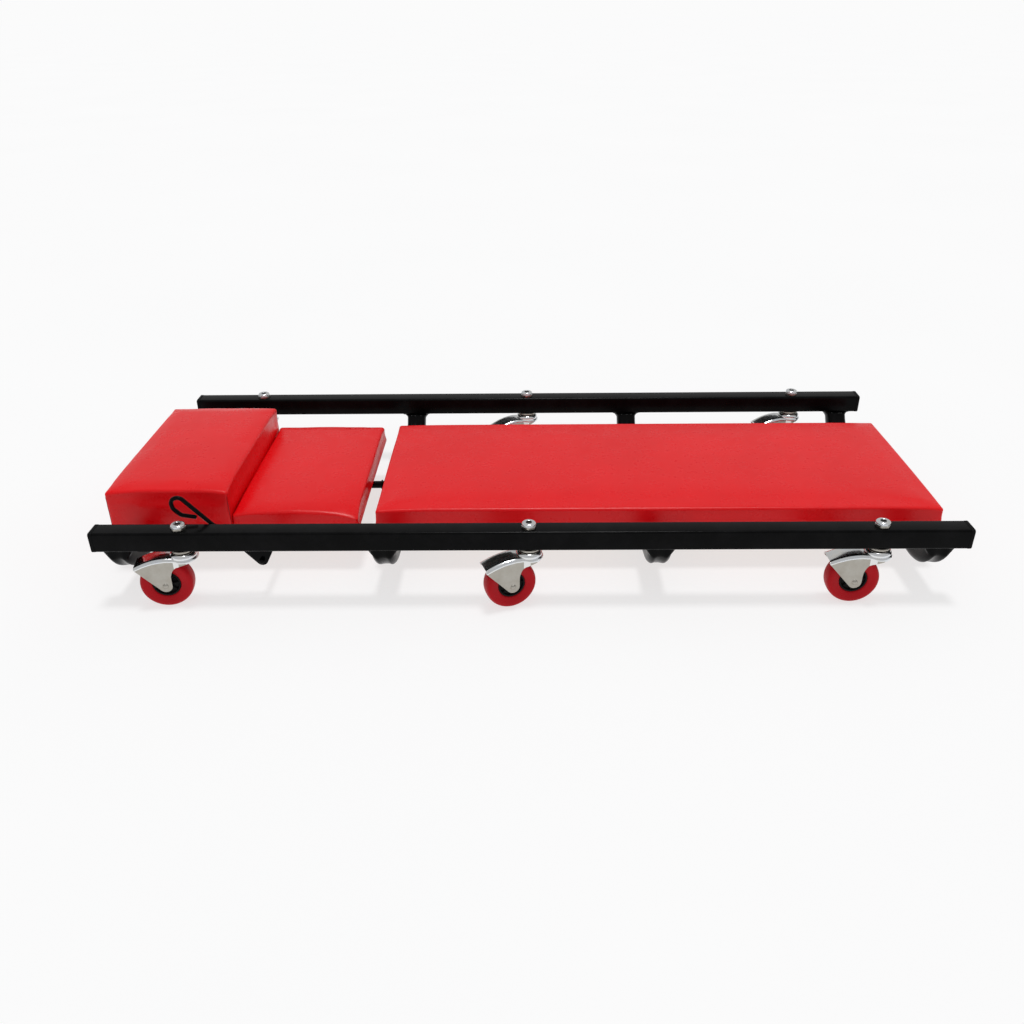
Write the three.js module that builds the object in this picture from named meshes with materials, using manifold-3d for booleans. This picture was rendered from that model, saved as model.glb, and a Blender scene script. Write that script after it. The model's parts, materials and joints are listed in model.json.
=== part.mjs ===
// Mechanics creeper: a low padded board on six swivel casters, with a hinged headrest.
// Millimetres, +Z up, +X from the head end to the foot end. The right-hand side of the
// person lying on it is -Y. The finished group is centred on its own footprint, wheels on z = 0.

import * as THREE from 'three';
import { mergeVertices } from 'three/addons/utils/BufferGeometryUtils.js';
import Module from 'manifold-3d';

const wasm = await Module();
wasm.setup();

// ---------------------------------------------------------------- driving dimensions

const OVERALL_LENGTH = 1016;
const FIT_GAP = 0.3;

const RAIL = { size: 25, wall: 1.5, corner: 3, centreY: 203.5, bottom: 75 };
const RAIL_TOP = RAIL.bottom + RAIL.size;
const END_CAP = { flange: 4.5, insert: 16, chamfer: 1.5, clearance: 0.35 };

const CROSS = {
  stations: { head: -482.5, hinge: -171, middle: 153.5, foot: 477 },
  tubeRadius: 14,
  runCentreZ: 42.7,
  bendRadius: 52,
  bendSteps: 8,
  sides: 14,
  endHalfWidth: 21,
  endHalfDepth: 6,
  dent: 2.6,
};

const PAD = {
  halfWidth: 132.5,
  underside: 57,
  boardThickness: 6,
  boardInset: 5,
  bodyStart: -190,
  bodyEnd: 508,
  bodyTop: 83,
  headStart: -367.9,
  headEnd: -211,
  headTop: 81.5,
  pillowStart: -520.5,
  pillowEnd: -368.3,
  pillowTop: 112.5,
  edgeRadius: 4,
};

const CASTER = {
  alongX: { head: -406, mid: 0, foot: 406 },
  trail: 24.4,
  axleZ: 31,
  wheelFacets: 20,
  treadHalfWidth: 10.6,
  hubRadius: 16.4,
  boreRadius: 3.4,
  axleRadius: 3,
  legOuter: 13.5,
  legTip: 7.8,
  steel: 1.8,
  skirtRadius: 17,
  drumRadius: 15.5,
  plateBottom: 64.2,
  drumTop: 72,
  stemRadius: 5,
  stemHole: 5.4,
  stemTop: 105.6,
  nutTop: 107,
};
// The wheel stands on one of its facets.
const WHEEL_RADIUS = CASTER.axleZ / Math.cos(Math.PI / CASTER.wheelFacets);

// Direction in which each wheel trails at rest, in degrees about +Z.
const SWIVEL_REST = {
  head_right: 8,
  mid_right: 20,
  foot_right: 0,
  head_left: 18,
  mid_left: 24,
  foot_left: 17,
};

const HINGE = {
  x: -193,
  z: 50,
  pinRadius: 3,
  eyeRadius: 6.4,
  eyeHalfWidth: 5,
  earInner: 5.4,
  earThickness: 3,
  armRadius: 5,
  armZ: 51.6,
  armEnd: -440,
};
const SADDLE = { positions: [-238, -428], length: 16, halfWidth: 17, thickness: 2 };

const PROP = {
  x: -317,
  z: 52.5,
  rodRadius: 3,
  outerEndY: -200.5,
  innerEndY: 106,
  crankHalfWidth: 45,
  crankLength: 90,
  crossbarDrop: 9.5,
  bend: 9,
  plateThickness: 4,
  handleY: -187,
  handleRadius: 2.5,
  handleBend: 8,
  handleRoute: [
    [-2.6, 2.6], [-55, 43.6], [-87, 79.4], [-99.5, 77.8], [-97.8, 65], [-89.5, 56.3], [-73, 53.6],
  ],
};
const LUG = { y: -195, tip: 7, toHead: 29, toFoot: 19.5 };
const BEARER = { y: 100, bottom: 42, top: 56.4, reach: 9 };

// ---------------------------------------------------------------- materials

function finish(colour, roughness, metalness) {
  return new THREE.MeshStandardMaterial({ color: colour, roughness, metalness });
}

const MATERIALS = {
  powderCoat: finish(0x101012, 0.35, 0.4),
  blackPlastic: finish(0x17171a, 0.55, 0),
  redVinyl: finish(0xc41420, 0.32, 0),
  redTread: finish(0xa30d18, 0.4, 0),
  zinc: finish(0xc4c6c8, 0.25, 0.95),
  plywood: finish(0xb08a5a, 0.8, 0),
};

// ---------------------------------------------------------------- geometry helpers

function toSolid(geometry) {
  const plain = geometry.clone();
  plain.deleteAttribute('normal');
  plain.deleteAttribute('uv');
  const merged = mergeVertices(plain, 1e-4);
  const vertProperties = Float32Array.from(merged.attributes.position.array);
  const triVerts = Uint32Array.from(merged.index.array);
  return new wasm.Manifold(new wasm.Mesh({ numProp: 3, vertProperties, triVerts }));
}

function toGeometry(solid) {
  const mesh = solid.getMesh();
  const geometry = new THREE.BufferGeometry();
  geometry.setAttribute('position', new THREE.BufferAttribute(mesh.vertProperties, 3));
  geometry.setIndex(new THREE.BufferAttribute(mesh.triVerts, 1));
  geometry.computeVertexNormals();
  return geometry;
}

// Skin over a row of equal rings, closed at both ends with a fan from the ring's middle.
function loft(rings) {
  const count = rings[0].length;
  const positions = rings.flat().flatMap((p) => [p.x, p.y, p.z]);
  const indices = [];
  for (let row = 0; row + 1 < rings.length; row += 1) {
    for (let i = 0; i < count; i += 1) {
      const a = row * count + i;
      const b = row * count + ((i + 1) % count);
      indices.push(a, b, a + count, b, b + count, a + count);
    }
  }
  const closeEnd = (row, flip) => {
    const middle = new THREE.Vector3();
    rings[row].forEach((p) => middle.addScaledVector(p, 1 / count));
    const apex = positions.length / 3;
    positions.push(middle.x, middle.y, middle.z);
    for (let i = 0; i < count; i += 1) {
      const a = row * count + i;
      const b = row * count + ((i + 1) % count);
      indices.push(...(flip ? [b, a, apex] : [a, b, apex]));
    }
  };
  closeEnd(0, true);
  closeEnd(rings.length - 1, false);
  const geometry = new THREE.BufferGeometry();
  geometry.setAttribute('position', new THREE.Float32BufferAttribute(positions, 3));
  geometry.setIndex(facingOut(positions, indices));
  geometry.computeVertexNormals();
  return geometry;
}

// Reverses every triangle where the signed volume says that they face inwards.
function facingOut(positions, indices) {
  const corner = (i) => new THREE.Vector3().fromArray(positions, 3 * indices[i]);
  let volume = 0;
  for (let i = 0; i < indices.length; i += 3) {
    volume += corner(i).dot(corner(i + 1).cross(corner(i + 2)));
  }
  return volume > 0 ? indices : indices.slice().reverse();
}

// Lathe about +Y; profile points are [radius, height].
function turned(profile, segments) {
  const points = profile.map(([radius, height]) => new THREE.Vector2(radius, height));
  const geometry = new THREE.LatheGeometry(points, segments);
  const { position } = geometry.attributes;
  geometry.setIndex(facingOut(Array.from(position.array), Array.from(geometry.index.array)));
  return geometry;
}

// The same shape turned about +Z, with heights going up.
function turnedUpright(profile, segments) {
  return turned(profile, segments).rotateX(Math.PI / 2);
}

function cylinder(radius, from, to, segments = 16) {
  const geometry = new THREE.CylinderGeometry(radius, radius, to - from, segments);
  return geometry.rotateX(Math.PI / 2).translate(0, 0, (from + to) / 2);
}

// Cutter for a hole along Y through the point (x, z).
function boreAlongY(radius, x, z, reach = 30, segments = 12) {
  return toSolid(cylinder(radius, -reach, reach, segments).rotateX(Math.PI / 2).translate(x, 0, z));
}

// Round rod along a polyline whose corners are rounded to the bend radius.
function rod(corners, radius, bendRadius, sides = 8, bendSteps = 4) {
  const points = [corners[0].clone()];
  for (let i = 1; i + 1 < corners.length; i += 1) {
    const before = corners[i - 1].clone().sub(corners[i]).normalize();
    const after = corners[i + 1].clone().sub(corners[i]).normalize();
    const half = before.angleTo(after) / 2;
    const reach = bendRadius / Math.tan(half);
    const start = corners[i].clone().addScaledVector(before, reach);
    const toCentre = before.clone().add(after).normalize();
    const centre = corners[i].clone().addScaledVector(toCentre, bendRadius / Math.sin(half));
    const axis = start.clone().sub(centre).cross(before).normalize().negate();
    const sweep = Math.PI - 2 * half;
    for (let step = 0; step <= bendSteps; step += 1) {
      const spoke = start.clone().sub(centre);
      points.push(spoke.applyAxisAngle(axis, (sweep * step) / bendSteps).add(centre));
    }
  }
  points.push(corners[corners.length - 1].clone());
  return loft(ringsAlong(points, radius, sides));
}

function ringsAlong(points, radius, sides) {
  let side = null;
  return points.map((point, i) => {
    const ahead = points[Math.min(i + 1, points.length - 1)].clone().sub(point).normalize();
    const behind = point.clone().sub(points[Math.max(i - 1, 0)]).normalize();
    const tangent = ahead.clone().add(behind).normalize();
    const firstGuide = Math.abs(tangent.y) > 0.5 ? new THREE.Vector3(1, 0, 0) : new THREE.Vector3(0, 1, 0);
    const guide = side ?? firstGuide;
    side = guide.clone().addScaledVector(tangent, -guide.dot(tangent)).normalize();
    const other = tangent.clone().cross(side);
    return Array.from({ length: sides }, (_, k) => {
      const angle = (2 * Math.PI * (k + 0.5)) / sides;
      return point.clone()
        .addScaledVector(side, radius * Math.cos(angle))
        .addScaledVector(other, radius * Math.sin(angle));
    });
  });
}

function roundedRectangle(width, height, radius, path = new THREE.Shape()) {
  const x = width / 2;
  const y = height / 2;
  path.moveTo(-x + radius, -y);
  path.absarc(x - radius, -y + radius, radius, -Math.PI / 2, 0, false);
  path.absarc(x - radius, y - radius, radius, 0, Math.PI / 2, false);
  path.absarc(-x + radius, y - radius, radius, Math.PI / 2, Math.PI, false);
  path.absarc(-x + radius, -y + radius, radius, Math.PI, 1.5 * Math.PI, false);
  return path;
}

function extrudeAlongX(shape, from, to, curveSegments = 3) {
  const geometry = new THREE.ExtrudeGeometry(shape, { depth: to - from, bevelEnabled: false, curveSegments });
  return geometry.rotateX(Math.PI / 2).rotateZ(Math.PI / 2).translate(from, 0, 0);
}

// Shape drawn in the XZ plane, given thickness along Y.
function extrudeAlongY(shape, from, to, curveSegments = 6) {
  const geometry = new THREE.ExtrudeGeometry(shape, { depth: to - from, bevelEnabled: false, curveSegments });
  return geometry.rotateX(Math.PI / 2).translate(0, to, 0);
}

function block(minimum, maximum) {
  const size = maximum.map((value, i) => value - minimum[i]);
  const middle = maximum.map((value, i) => (value + minimum[i]) / 2);
  return new THREE.BoxGeometry(...size).translate(...middle);
}

// Box whose corners and edges are rounded: stacked rounded rectangles, lofted upwards.
function softBlock(minimum, maximum, radius) {
  const [width, depth] = [maximum[0] - minimum[0], maximum[1] - minimum[1]];
  const centre = new THREE.Vector3((maximum[0] + minimum[0]) / 2, (maximum[1] + minimum[1]) / 2, 0);
  const levels = [0, 0.5, 1].map((t) => (t * Math.PI) / 2);
  const ring = (inset, z) => roundedRectangle(width - 2 * inset, depth - 2 * inset, 2 * radius)
    .getPoints(2)
    .slice(0, -1)
    .map((p) => new THREE.Vector3(p.x + centre.x, p.y + centre.y, z));
  const lower = levels.map((a) => ring(radius * (1 - Math.sin(a)), minimum[2] + radius * (1 - Math.cos(a))));
  const upper = levels.map((a) => ring(radius * (1 - Math.cos(a)), maximum[2] - radius * (1 - Math.sin(a))));
  return loft([...lower, ...upper]);
}

// ---------------------------------------------------------------- frame

const creeper = new THREE.Group();

function addPiece(name, geometry, material, parent = creeper) {
  const mesh = new THREE.Mesh(geometry, material);
  mesh.name = name;
  parent.add(mesh);
  return mesh;
}

function makeRail() {
  const half = OVERALL_LENGTH / 2 - END_CAP.flange - FIT_GAP;
  const section = roundedRectangle(RAIL.size, RAIL.size, RAIL.corner);
  const inner = RAIL.size - 2 * RAIL.wall;
  section.holes.push(roundedRectangle(inner, inner, RAIL.corner - RAIL.wall, new THREE.Path()));
  let tube = toSolid(extrudeAlongX(section, -half, half));
  for (const x of Object.values(CASTER.alongX)) {
    const bore = cylinder(CASTER.stemHole, -RAIL.size, RAIL.size, 10).translate(x, 0, 0);
    tube = tube.subtract(toSolid(bore));
  }
  return toGeometry(tube);
}

function makeEndCap() {
  const ring = (size, x) => roundedRectangle(size, size, RAIL.corner)
    .getPoints(2)
    .slice(0, -1)
    .map((p) => new THREE.Vector3(x, p.x, p.y));
  const plug = RAIL.size - 2 * (RAIL.wall + END_CAP.clearance);
  const outer = RAIL.size - 0.2;
  return loft([
    ring(plug - 1.5, -END_CAP.insert),
    ring(plug, -END_CAP.insert + 3),
    ring(plug, 0),
    ring(outer, 0),
    ring(outer, END_CAP.flange - END_CAP.chamfer),
    ring(outer - 2 * END_CAP.chamfer, END_CAP.flange),
  ]);
}

// Cross-section of a cross member: round along the run, pinched into two ridges on the bend,
// flattened and spread where it meets the rail. The bend parameter goes from 0 to 1.
function crossSection(bend, centre, across) {
  const pinch = THREE.MathUtils.smoothstep(bend, 0.1, 0.55);
  const flare = THREE.MathUtils.smoothstep(bend, 0.85, 1);
  const halfWidth = THREE.MathUtils.lerp(CROSS.tubeRadius, CROSS.endHalfWidth, flare);
  const halfDepth = THREE.MathUtils.lerp(CROSS.tubeRadius - pinch, CROSS.endHalfDepth, flare);
  const power = THREE.MathUtils.lerp(1, 0.72, pinch);
  return Array.from({ length: CROSS.sides }, (_, i) => {
    const angle = (2 * Math.PI * i) / CROSS.sides;
    const [c, s] = [Math.cos(angle), Math.sin(angle)];
    const width = halfWidth * Math.sign(c) * Math.abs(c) ** power;
    const dent = CROSS.dent * pinch * (1 - flare) * (1 - Math.abs(c)) ** 2;
    const depth = (halfDepth * Math.abs(s) ** power - dent) * Math.sign(s);
    return centre.clone().add(new THREE.Vector3(width, 0, 0)).addScaledVector(across, depth);
  });
}

function makeCrossMember() {
  const bendCentreZ = CROSS.runCentreZ + CROSS.bendRadius;
  const endZ = RAIL.bottom - FIT_GAP;
  const endAngle = Math.acos((bendCentreZ - endZ) / CROSS.bendRadius);
  const reach = RAIL.centreY - CROSS.bendRadius * Math.sin(endAngle) - 1;
  const half = [];
  for (let step = 0; step <= CROSS.bendSteps; step += 1) {
    const bend = step / CROSS.bendSteps;
    const angle = endAngle * bend;
    const y = reach + CROSS.bendRadius * Math.sin(angle);
    const z = bendCentreZ - CROSS.bendRadius * Math.cos(angle);
    const across = new THREE.Vector3(0, -Math.sin(angle), Math.cos(angle));
    const ring = crossSection(bend, new THREE.Vector3(0, y, z), across);
    half.push(step === CROSS.bendSteps ? flattenTo(ring, endZ, angle) : ring);
  }
  const mirrored = half.map((ring) => ring.map((p) => new THREE.Vector3(p.x, -p.y, p.z)));
  return loft([...mirrored.reverse(), ...half]);
}

// Slides the points of an end ring along the tube until they all lie at one height.
function flattenTo(ring, z, angle) {
  return ring.map((p) => new THREE.Vector3(p.x, p.y + (z - p.z) / Math.tan(angle), z));
}

function addFrame() {
  for (const [side, sign] of [['left', 1], ['right', -1]]) {
    const rail = addPiece(`rail_${side}`, makeRail(), MATERIALS.powderCoat);
    rail.position.set(0, sign * RAIL.centreY, RAIL.bottom + RAIL.size / 2);
    for (const [end, direction] of [['head', -1], ['foot', 1]]) {
      const cap = addPiece(`end_cap_${end}_${side}`, makeEndCap(), MATERIALS.blackPlastic);
      const seat = OVERALL_LENGTH / 2 - END_CAP.flange;
      cap.position.set(direction * seat, sign * RAIL.centreY, RAIL.bottom + RAIL.size / 2);
      cap.rotation.z = direction > 0 ? 0 : Math.PI;
    }
  }
  for (const [name, x] of Object.entries(CROSS.stations)) {
    addPiece(`cross_member_${name}`, makeCrossMember(), MATERIALS.powderCoat).position.x = x;
  }
}

// ---------------------------------------------------------------- pads

function addPad(name, start, end, top) {
  const low = [start, -PAD.halfWidth, PAD.underside + PAD.boardThickness + FIT_GAP];
  const high = [end, PAD.halfWidth, top];
  addPiece(name, softBlock(low, high, PAD.edgeRadius), MATERIALS.redVinyl);
}

function addBoard(name, start, end) {
  const halfWidth = PAD.halfWidth - PAD.boardInset;
  const low = [start + PAD.boardInset, -halfWidth, PAD.underside];
  const high = [end - PAD.boardInset, halfWidth, PAD.underside + PAD.boardThickness];
  addPiece(name, block(low, high), MATERIALS.plywood);
}

function addPads() {
  addBoard('body_board', PAD.bodyStart, PAD.bodyEnd);
  addPad('body_cushion', PAD.bodyStart, PAD.bodyEnd, PAD.bodyTop);
  addBoard('head_board', PAD.pillowStart, PAD.headEnd);
  addPad('head_cushion', PAD.headStart, PAD.headEnd, PAD.headTop);
  addPad('head_pillow', PAD.pillowStart, PAD.pillowEnd, PAD.pillowTop);
}

// ---------------------------------------------------------------- headrest hinge and prop

function addHeadrestHinge() {
  const { x, z } = HINGE;
  const knuckle = cylinder(HINGE.eyeRadius, -HINGE.eyeHalfWidth, HINGE.eyeHalfWidth, 16)
    .rotateX(Math.PI / 2)
    .translate(x, 0, z);
  const bar = rod(
    [new THREE.Vector3(x, 0, HINGE.armZ), new THREE.Vector3(HINGE.armEnd, 0, HINGE.armZ)],
    HINGE.armRadius / Math.cos(Math.PI / 12),
    0,
    12,
  );
  const arm = toSolid(knuckle).add(toSolid(bar)).subtract(boreAlongY(HINGE.pinRadius + 0.4, x, z));
  addPiece('hinge_arm', toGeometry(arm), MATERIALS.powderCoat);

  const head = [HINGE.pinRadius + 2, HINGE.earInner + HINGE.earThickness + 0.3];
  const pinProfile = [
    [0, -head[1] - 2.5], [head[0], -head[1] - 2], [head[0], -head[1]], [HINGE.pinRadius, -head[1]],
    [HINGE.pinRadius, head[1]], [head[0], head[1]], [head[0], head[1] + 2], [0, head[1] + 2.5],
  ];
  addPiece('hinge_pin', turned(pinProfile, 12), MATERIALS.zinc).position.set(x, 0, z);
  addPiece('hinge_clevis', makeClevis(), MATERIALS.powderCoat);
}

// Two ears joined by a bridge under the knuckle, their backs curved to the cross member's tube.
function makeClevis() {
  const tubeX = CROSS.stations.hinge;
  const outer = HINGE.earInner + HINGE.earThickness;
  const cheek = HINGE.eyeRadius + 0.3;
  const bridgeTop = HINGE.z - HINGE.eyeRadius - 1;
  const shape = new THREE.Shape();
  shape.absarc(HINGE.x, HINGE.z, cheek, Math.PI / 2, Math.PI, false);
  shape.lineTo(HINGE.x - cheek, bridgeTop);
  shape.lineTo(HINGE.x, bridgeTop - 4);
  shape.lineTo(tubeX - 7, bridgeTop - 4);
  shape.lineTo(tubeX - 7, HINGE.z + cheek);
  const cheeks = toSolid(extrudeAlongY(shape, -outer, outer, 6));
  const slot = toSolid(block([-220, -HINGE.earInner, bridgeTop], [tubeX, HINGE.earInner, 90]));
  const tube = boreAlongY(CROSS.tubeRadius + 2 * FIT_GAP, tubeX, CROSS.runCentreZ, 30, 28);
  const pinHole = boreAlongY(HINGE.pinRadius + 0.4, HINGE.x, HINGE.z);
  return toGeometry(cheeks.subtract(slot).subtract(tube).subtract(pinHole));
}

// Strap that carries the arm under the head board: two feet against the board and a bridge.
function addSaddles() {
  const clear = HINGE.armRadius + 0.5;
  const roof = PAD.underside - FIT_GAP;
  const floor = HINGE.armZ - clear;
  const t = SADDLE.thickness;
  const outline = [
    [-SADDLE.halfWidth, roof - t], [-clear - t, roof - t], [-clear - t, floor - t], [clear + t, floor - t],
    [clear + t, roof - t], [SADDLE.halfWidth, roof - t], [SADDLE.halfWidth, roof], [clear, roof],
    [clear, floor], [-clear, floor], [-clear, roof], [-SADDLE.halfWidth, roof],
  ];
  const shape = new THREE.Shape(outline.map(([y, z]) => new THREE.Vector2(y, z)));
  SADDLE.positions.forEach((x, i) => {
    const geometry = extrudeAlongX(shape, x - SADDLE.length / 2, x + SADDLE.length / 2);
    addPiece(`arm_saddle_${i + 1}`, geometry, MATERIALS.zinc);
  });
}

// Crank-shaped bail: two stub shafts along Y, two crank arms and the crossbar that lifts the arm.
function addProp() {
  const crankX = -Math.sqrt(PROP.crankLength ** 2 - PROP.crossbarDrop ** 2);
  const corner = (x, y, z) => new THREE.Vector3(PROP.x + x, y, PROP.z + z);
  const bail = rod(
    [
      corner(0, PROP.outerEndY, 0),
      corner(0, -PROP.crankHalfWidth, 0),
      corner(crankX, -PROP.crankHalfWidth, -PROP.crossbarDrop),
      corner(crankX, PROP.crankHalfWidth, -PROP.crossbarDrop),
      corner(0, PROP.crankHalfWidth, 0),
      corner(0, PROP.innerEndY, 0),
    ],
    PROP.rodRadius,
    PROP.bend,
  );
  addPiece('prop_bail', bail, MATERIALS.powderCoat);

  const handle = rod(
    PROP.handleRoute.map(([x, z]) => new THREE.Vector3(PROP.x + x, PROP.handleY, PROP.z + z)),
    PROP.handleRadius,
    PROP.handleBend,
    8,
    3,
  );
  addPiece('prop_handle', handle, MATERIALS.powderCoat);

  addPiece('prop_lug', makeLug(), MATERIALS.powderCoat);
  addPiece('prop_bearer', makeBearer(), MATERIALS.powderCoat);
}

// Hanging plate under the rail that carries the outer end of the bail.
function makeLug() {
  const top = RAIL.bottom - FIT_GAP;
  const shape = new THREE.Shape();
  shape.absarc(PROP.x, PROP.z, LUG.tip, 1.23 * Math.PI, 1.85 * Math.PI, false);
  shape.lineTo(PROP.x + LUG.toFoot, top);
  shape.lineTo(PROP.x - LUG.toHead, top);
  const half = PROP.plateThickness / 2;
  const plate = toSolid(extrudeAlongY(shape, LUG.y - half, LUG.y + half, 6));
  return toGeometry(plate.subtract(boreAlongY(PROP.rodRadius + 0.5, PROP.x, PROP.z, 250)));
}

// Flat bar on edge from the head cross member, notched at its end for the inner end of the bail.
function makeBearer() {
  const half = PROP.plateThickness / 2;
  const end = PROP.x + BEARER.reach;
  const tubeX = CROSS.stations.head;
  const outline = [
    [tubeX, BEARER.bottom], [end - 5, BEARER.bottom], [end, BEARER.bottom + 5],
    [end, BEARER.top], [tubeX, BEARER.top],
  ];
  const shape = new THREE.Shape(outline.map(([x, z]) => new THREE.Vector2(x, z)));
  const clear = PROP.rodRadius + 0.5;
  const bar = toSolid(extrudeAlongY(shape, BEARER.y - half, BEARER.y + half));
  const notch = toSolid(block([PROP.x - clear, 0, PROP.z], [PROP.x + clear, 2 * BEARER.y, 90]));
  const seat = boreAlongY(clear, PROP.x, PROP.z, 250);
  const tube = boreAlongY(CROSS.tubeRadius + 2 * FIT_GAP, tubeX, CROSS.runCentreZ, 250, 28);
  return toGeometry(bar.subtract(notch).subtract(seat).subtract(tube));
}

// ---------------------------------------------------------------- casters
// Caster frame: swivel axis on Z, wheel trailing towards -X, axle along Y.

// Height of the hood's top at a distance behind the swivel axis.
function hoodTop(behind) {
  const curve = new THREE.SplineCurve([[-20, 66], [4, 66.2], [20, 67.6], [34, 66.3], [46, 62.8], [58, 57.8]]
    .map(([b, z]) => new THREE.Vector2(b, z)));
  return curve.getPoint(THREE.MathUtils.clamp((behind + 20) / 78, 0, 1)).y;
}

function hoodSolid(inset) {
  const half = CASTER.legOuter - inset;
  const round = 3.4 - inset / 2;
  const stations = [0, 8, 16, 30, 46, 60];
  return toSolid(loft(stations.map((behind) => {
    const top = hoodTop(behind) - inset;
    const outline = [[-half, 10], [-half, top - round], [-half + round, top]];
    const mirrored = outline.map(([y, z]) => [-y, z]).reverse();
    return [...outline, ...mirrored].map(([y, z]) => new THREE.Vector3(-behind, y, z));
  })));
}

// Side view of the pressed fork: hood and skirt above, one tapering leg down to the axle.
function forkSideView() {
  const shape = new THREE.Shape();
  const behind = (b, z) => shape.lineTo(-b, z);
  shape.moveTo(19, 80);
  behind(-19, 62.2);
  behind(-8, 61);
  behind(3, 58.4);
  behind(9.5, 55.2);
  behind(13, 51.6);
  behind(15, 48.2);
  behind(16.3, 43);
  shape.absarc(-CASTER.trail, CASTER.axleZ, CASTER.legTip, 0, -0.77 * Math.PI, true);
  behind(54.6, 53.6);
  behind(57, 57);
  behind(57, 80);
  return toSolid(extrudeAlongY(shape, -20, 20, 4));
}

function makeFork() {
  const c = CASTER;
  const skirt = toSolid(cylinder(c.skirtRadius, 40, c.plateBottom + c.steel, 16));
  const skirtInside = toSolid(cylinder(c.skirtRadius - c.steel, 30, c.plateBottom, 16));
  const tunnel = toSolid(block([-80, c.steel - c.legOuter, 0], [0, c.legOuter - c.steel, c.plateBottom]));
  const drumProfile = [
    [0, c.plateBottom], [c.drumRadius, c.plateBottom], [c.drumRadius, c.drumTop - 2],
    [c.drumRadius - 2, c.drumTop], [0, c.drumTop],
  ];
  const drum = toSolid(turnedUpright(drumProfile, 16));
  const shell = hoodSolid(0).add(skirt).subtract(hoodSolid(c.steel)).subtract(skirtInside).subtract(tunnel);
  const stemHole = toSolid(cylinder(c.stemHole, 40, 90, 10));
  const axleHole = boreAlongY(c.boreRadius, -c.trail, c.axleZ, 20, 8);
  return toGeometry(shell.intersect(forkSideView()).add(drum).subtract(stemHole).subtract(axleHole));
}

function makeTyre() {
  const c = CASTER;
  const side = [[17.2, 8.4], [26, c.treadHalfWidth], [30, 8.4], [WHEEL_RADIUS, 4.6]];
  const mirrored = side.map(([r, y]) => [r, -y]).reverse();
  return turned([...side, ...mirrored, side[0]], c.wheelFacets);
}

function makeHub() {
  const c = CASTER;
  const side = [[c.boreRadius, 11.2], [6.5, 11.2], [7.2, 4], [14.2, 4], [14.6, 8], [c.hubRadius, 8]];
  const mirrored = side.map(([r, y]) => [r, -y]).reverse();
  return turned([...side, ...mirrored, side[0]], 12);
}

function makeAxle() {
  const { axleRadius, legOuter } = CASTER;
  const headAt = legOuter + FIT_GAP;
  const end = [[axleRadius, headAt], [3.9, headAt], [3.3, headAt + 1.4], [0, headAt + 2]];
  const mirrored = end.map(([r, y]) => [r, -y]).reverse();
  return turned([...mirrored, ...end], 8);
}

function makeStem() {
  const c = CASTER;
  const headBottom = c.plateBottom - 2.2;
  const profile = [
    [0, headBottom], [6.4, headBottom], [7, c.plateBottom - FIT_GAP], [c.stemRadius, c.plateBottom - FIT_GAP],
    [c.stemRadius, c.drumTop + 0.4], [13.4, c.drumTop + 0.4], [13.4, RAIL.bottom - FIT_GAP],
    [c.stemRadius, RAIL.bottom - FIT_GAP], [c.stemRadius, c.stemTop - 1], [4, c.stemTop], [0, c.stemTop],
  ];
  return turnedUpright(profile, 10);
}

function makeLockNut() {
  const base = RAIL_TOP + FIT_GAP;
  const top = CASTER.nutTop;
  const hexagon = toSolid(cylinder(9.2, base, base + 3.4, 6));
  const collarProfile = [[0, base + 3], [8.2, base + 3], [8.2, top - 1.6], [6.6, top], [0, top]];
  const collar = toSolid(turnedUpright(collarProfile, 12));
  const bore = toSolid(cylinder(CASTER.stemHole, base - 1, top + 1, 10));
  return toGeometry(hexagon.add(collar).subtract(bore));
}

function addCaster(place, x, y) {
  const caster = new THREE.Group();
  caster.position.set(x, y, 0);
  caster.rotation.z = THREE.MathUtils.degToRad(SWIVEL_REST[place]);
  creeper.add(caster);
  addPiece(`stem_${place}`, makeStem(), MATERIALS.zinc, caster);
  addPiece(`lock_nut_${place}`, makeLockNut(), MATERIALS.zinc, caster);
  addPiece(`fork_${place}`, makeFork(), MATERIALS.zinc, caster);
  const wheel = [
    addPiece(`axle_${place}`, makeAxle(), MATERIALS.zinc, caster),
    addPiece(`tyre_${place}`, makeTyre(), MATERIALS.redTread, caster),
    addPiece(`hub_${place}`, makeHub(), MATERIALS.blackPlastic, caster),
  ];
  for (const piece of wheel) {
    piece.position.set(-CASTER.trail, 0, CASTER.axleZ);
    piece.rotation.y = Math.PI / CASTER.wheelFacets;
  }
}

// ---------------------------------------------------------------- assembly

addFrame();
addPads();
addHeadrestHinge();
addSaddles();
addProp();
for (const [side, sign] of [['left', 1], ['right', -1]]) {
  for (const [end, x] of Object.entries(CASTER.alongX)) {
    addCaster(`${end}_${side}`, x, sign * RAIL.centreY);
  }
}

// Put the middle of the footprint on the origin.
const footprint = new THREE.Box3().setFromObject(creeper, true).getCenter(new THREE.Vector3());
creeper.position.set(-footprint.x, -footprint.y, 0);
creeper.updateMatrixWorld(true);

export default creeper;
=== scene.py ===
import json
import math

import bmesh
import bpy
from mathutils import Matrix, Vector


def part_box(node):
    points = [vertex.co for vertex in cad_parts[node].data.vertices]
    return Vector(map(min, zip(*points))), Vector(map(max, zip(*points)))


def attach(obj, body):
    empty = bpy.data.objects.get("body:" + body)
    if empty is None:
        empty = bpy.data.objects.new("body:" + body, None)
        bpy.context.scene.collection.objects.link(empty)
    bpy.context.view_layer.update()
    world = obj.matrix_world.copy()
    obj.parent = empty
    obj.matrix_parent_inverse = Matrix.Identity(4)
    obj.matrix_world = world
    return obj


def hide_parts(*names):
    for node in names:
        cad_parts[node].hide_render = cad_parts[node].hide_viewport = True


# Mechanics creeper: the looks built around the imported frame.
# Lengths are in millimetres in the creeper's own axes, with the origin between the rails on the floor:
# +X to the foot end, +Y to the left of the person lying on it, +Z up. Meshes are made in metres.

MM = 0.001

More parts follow.
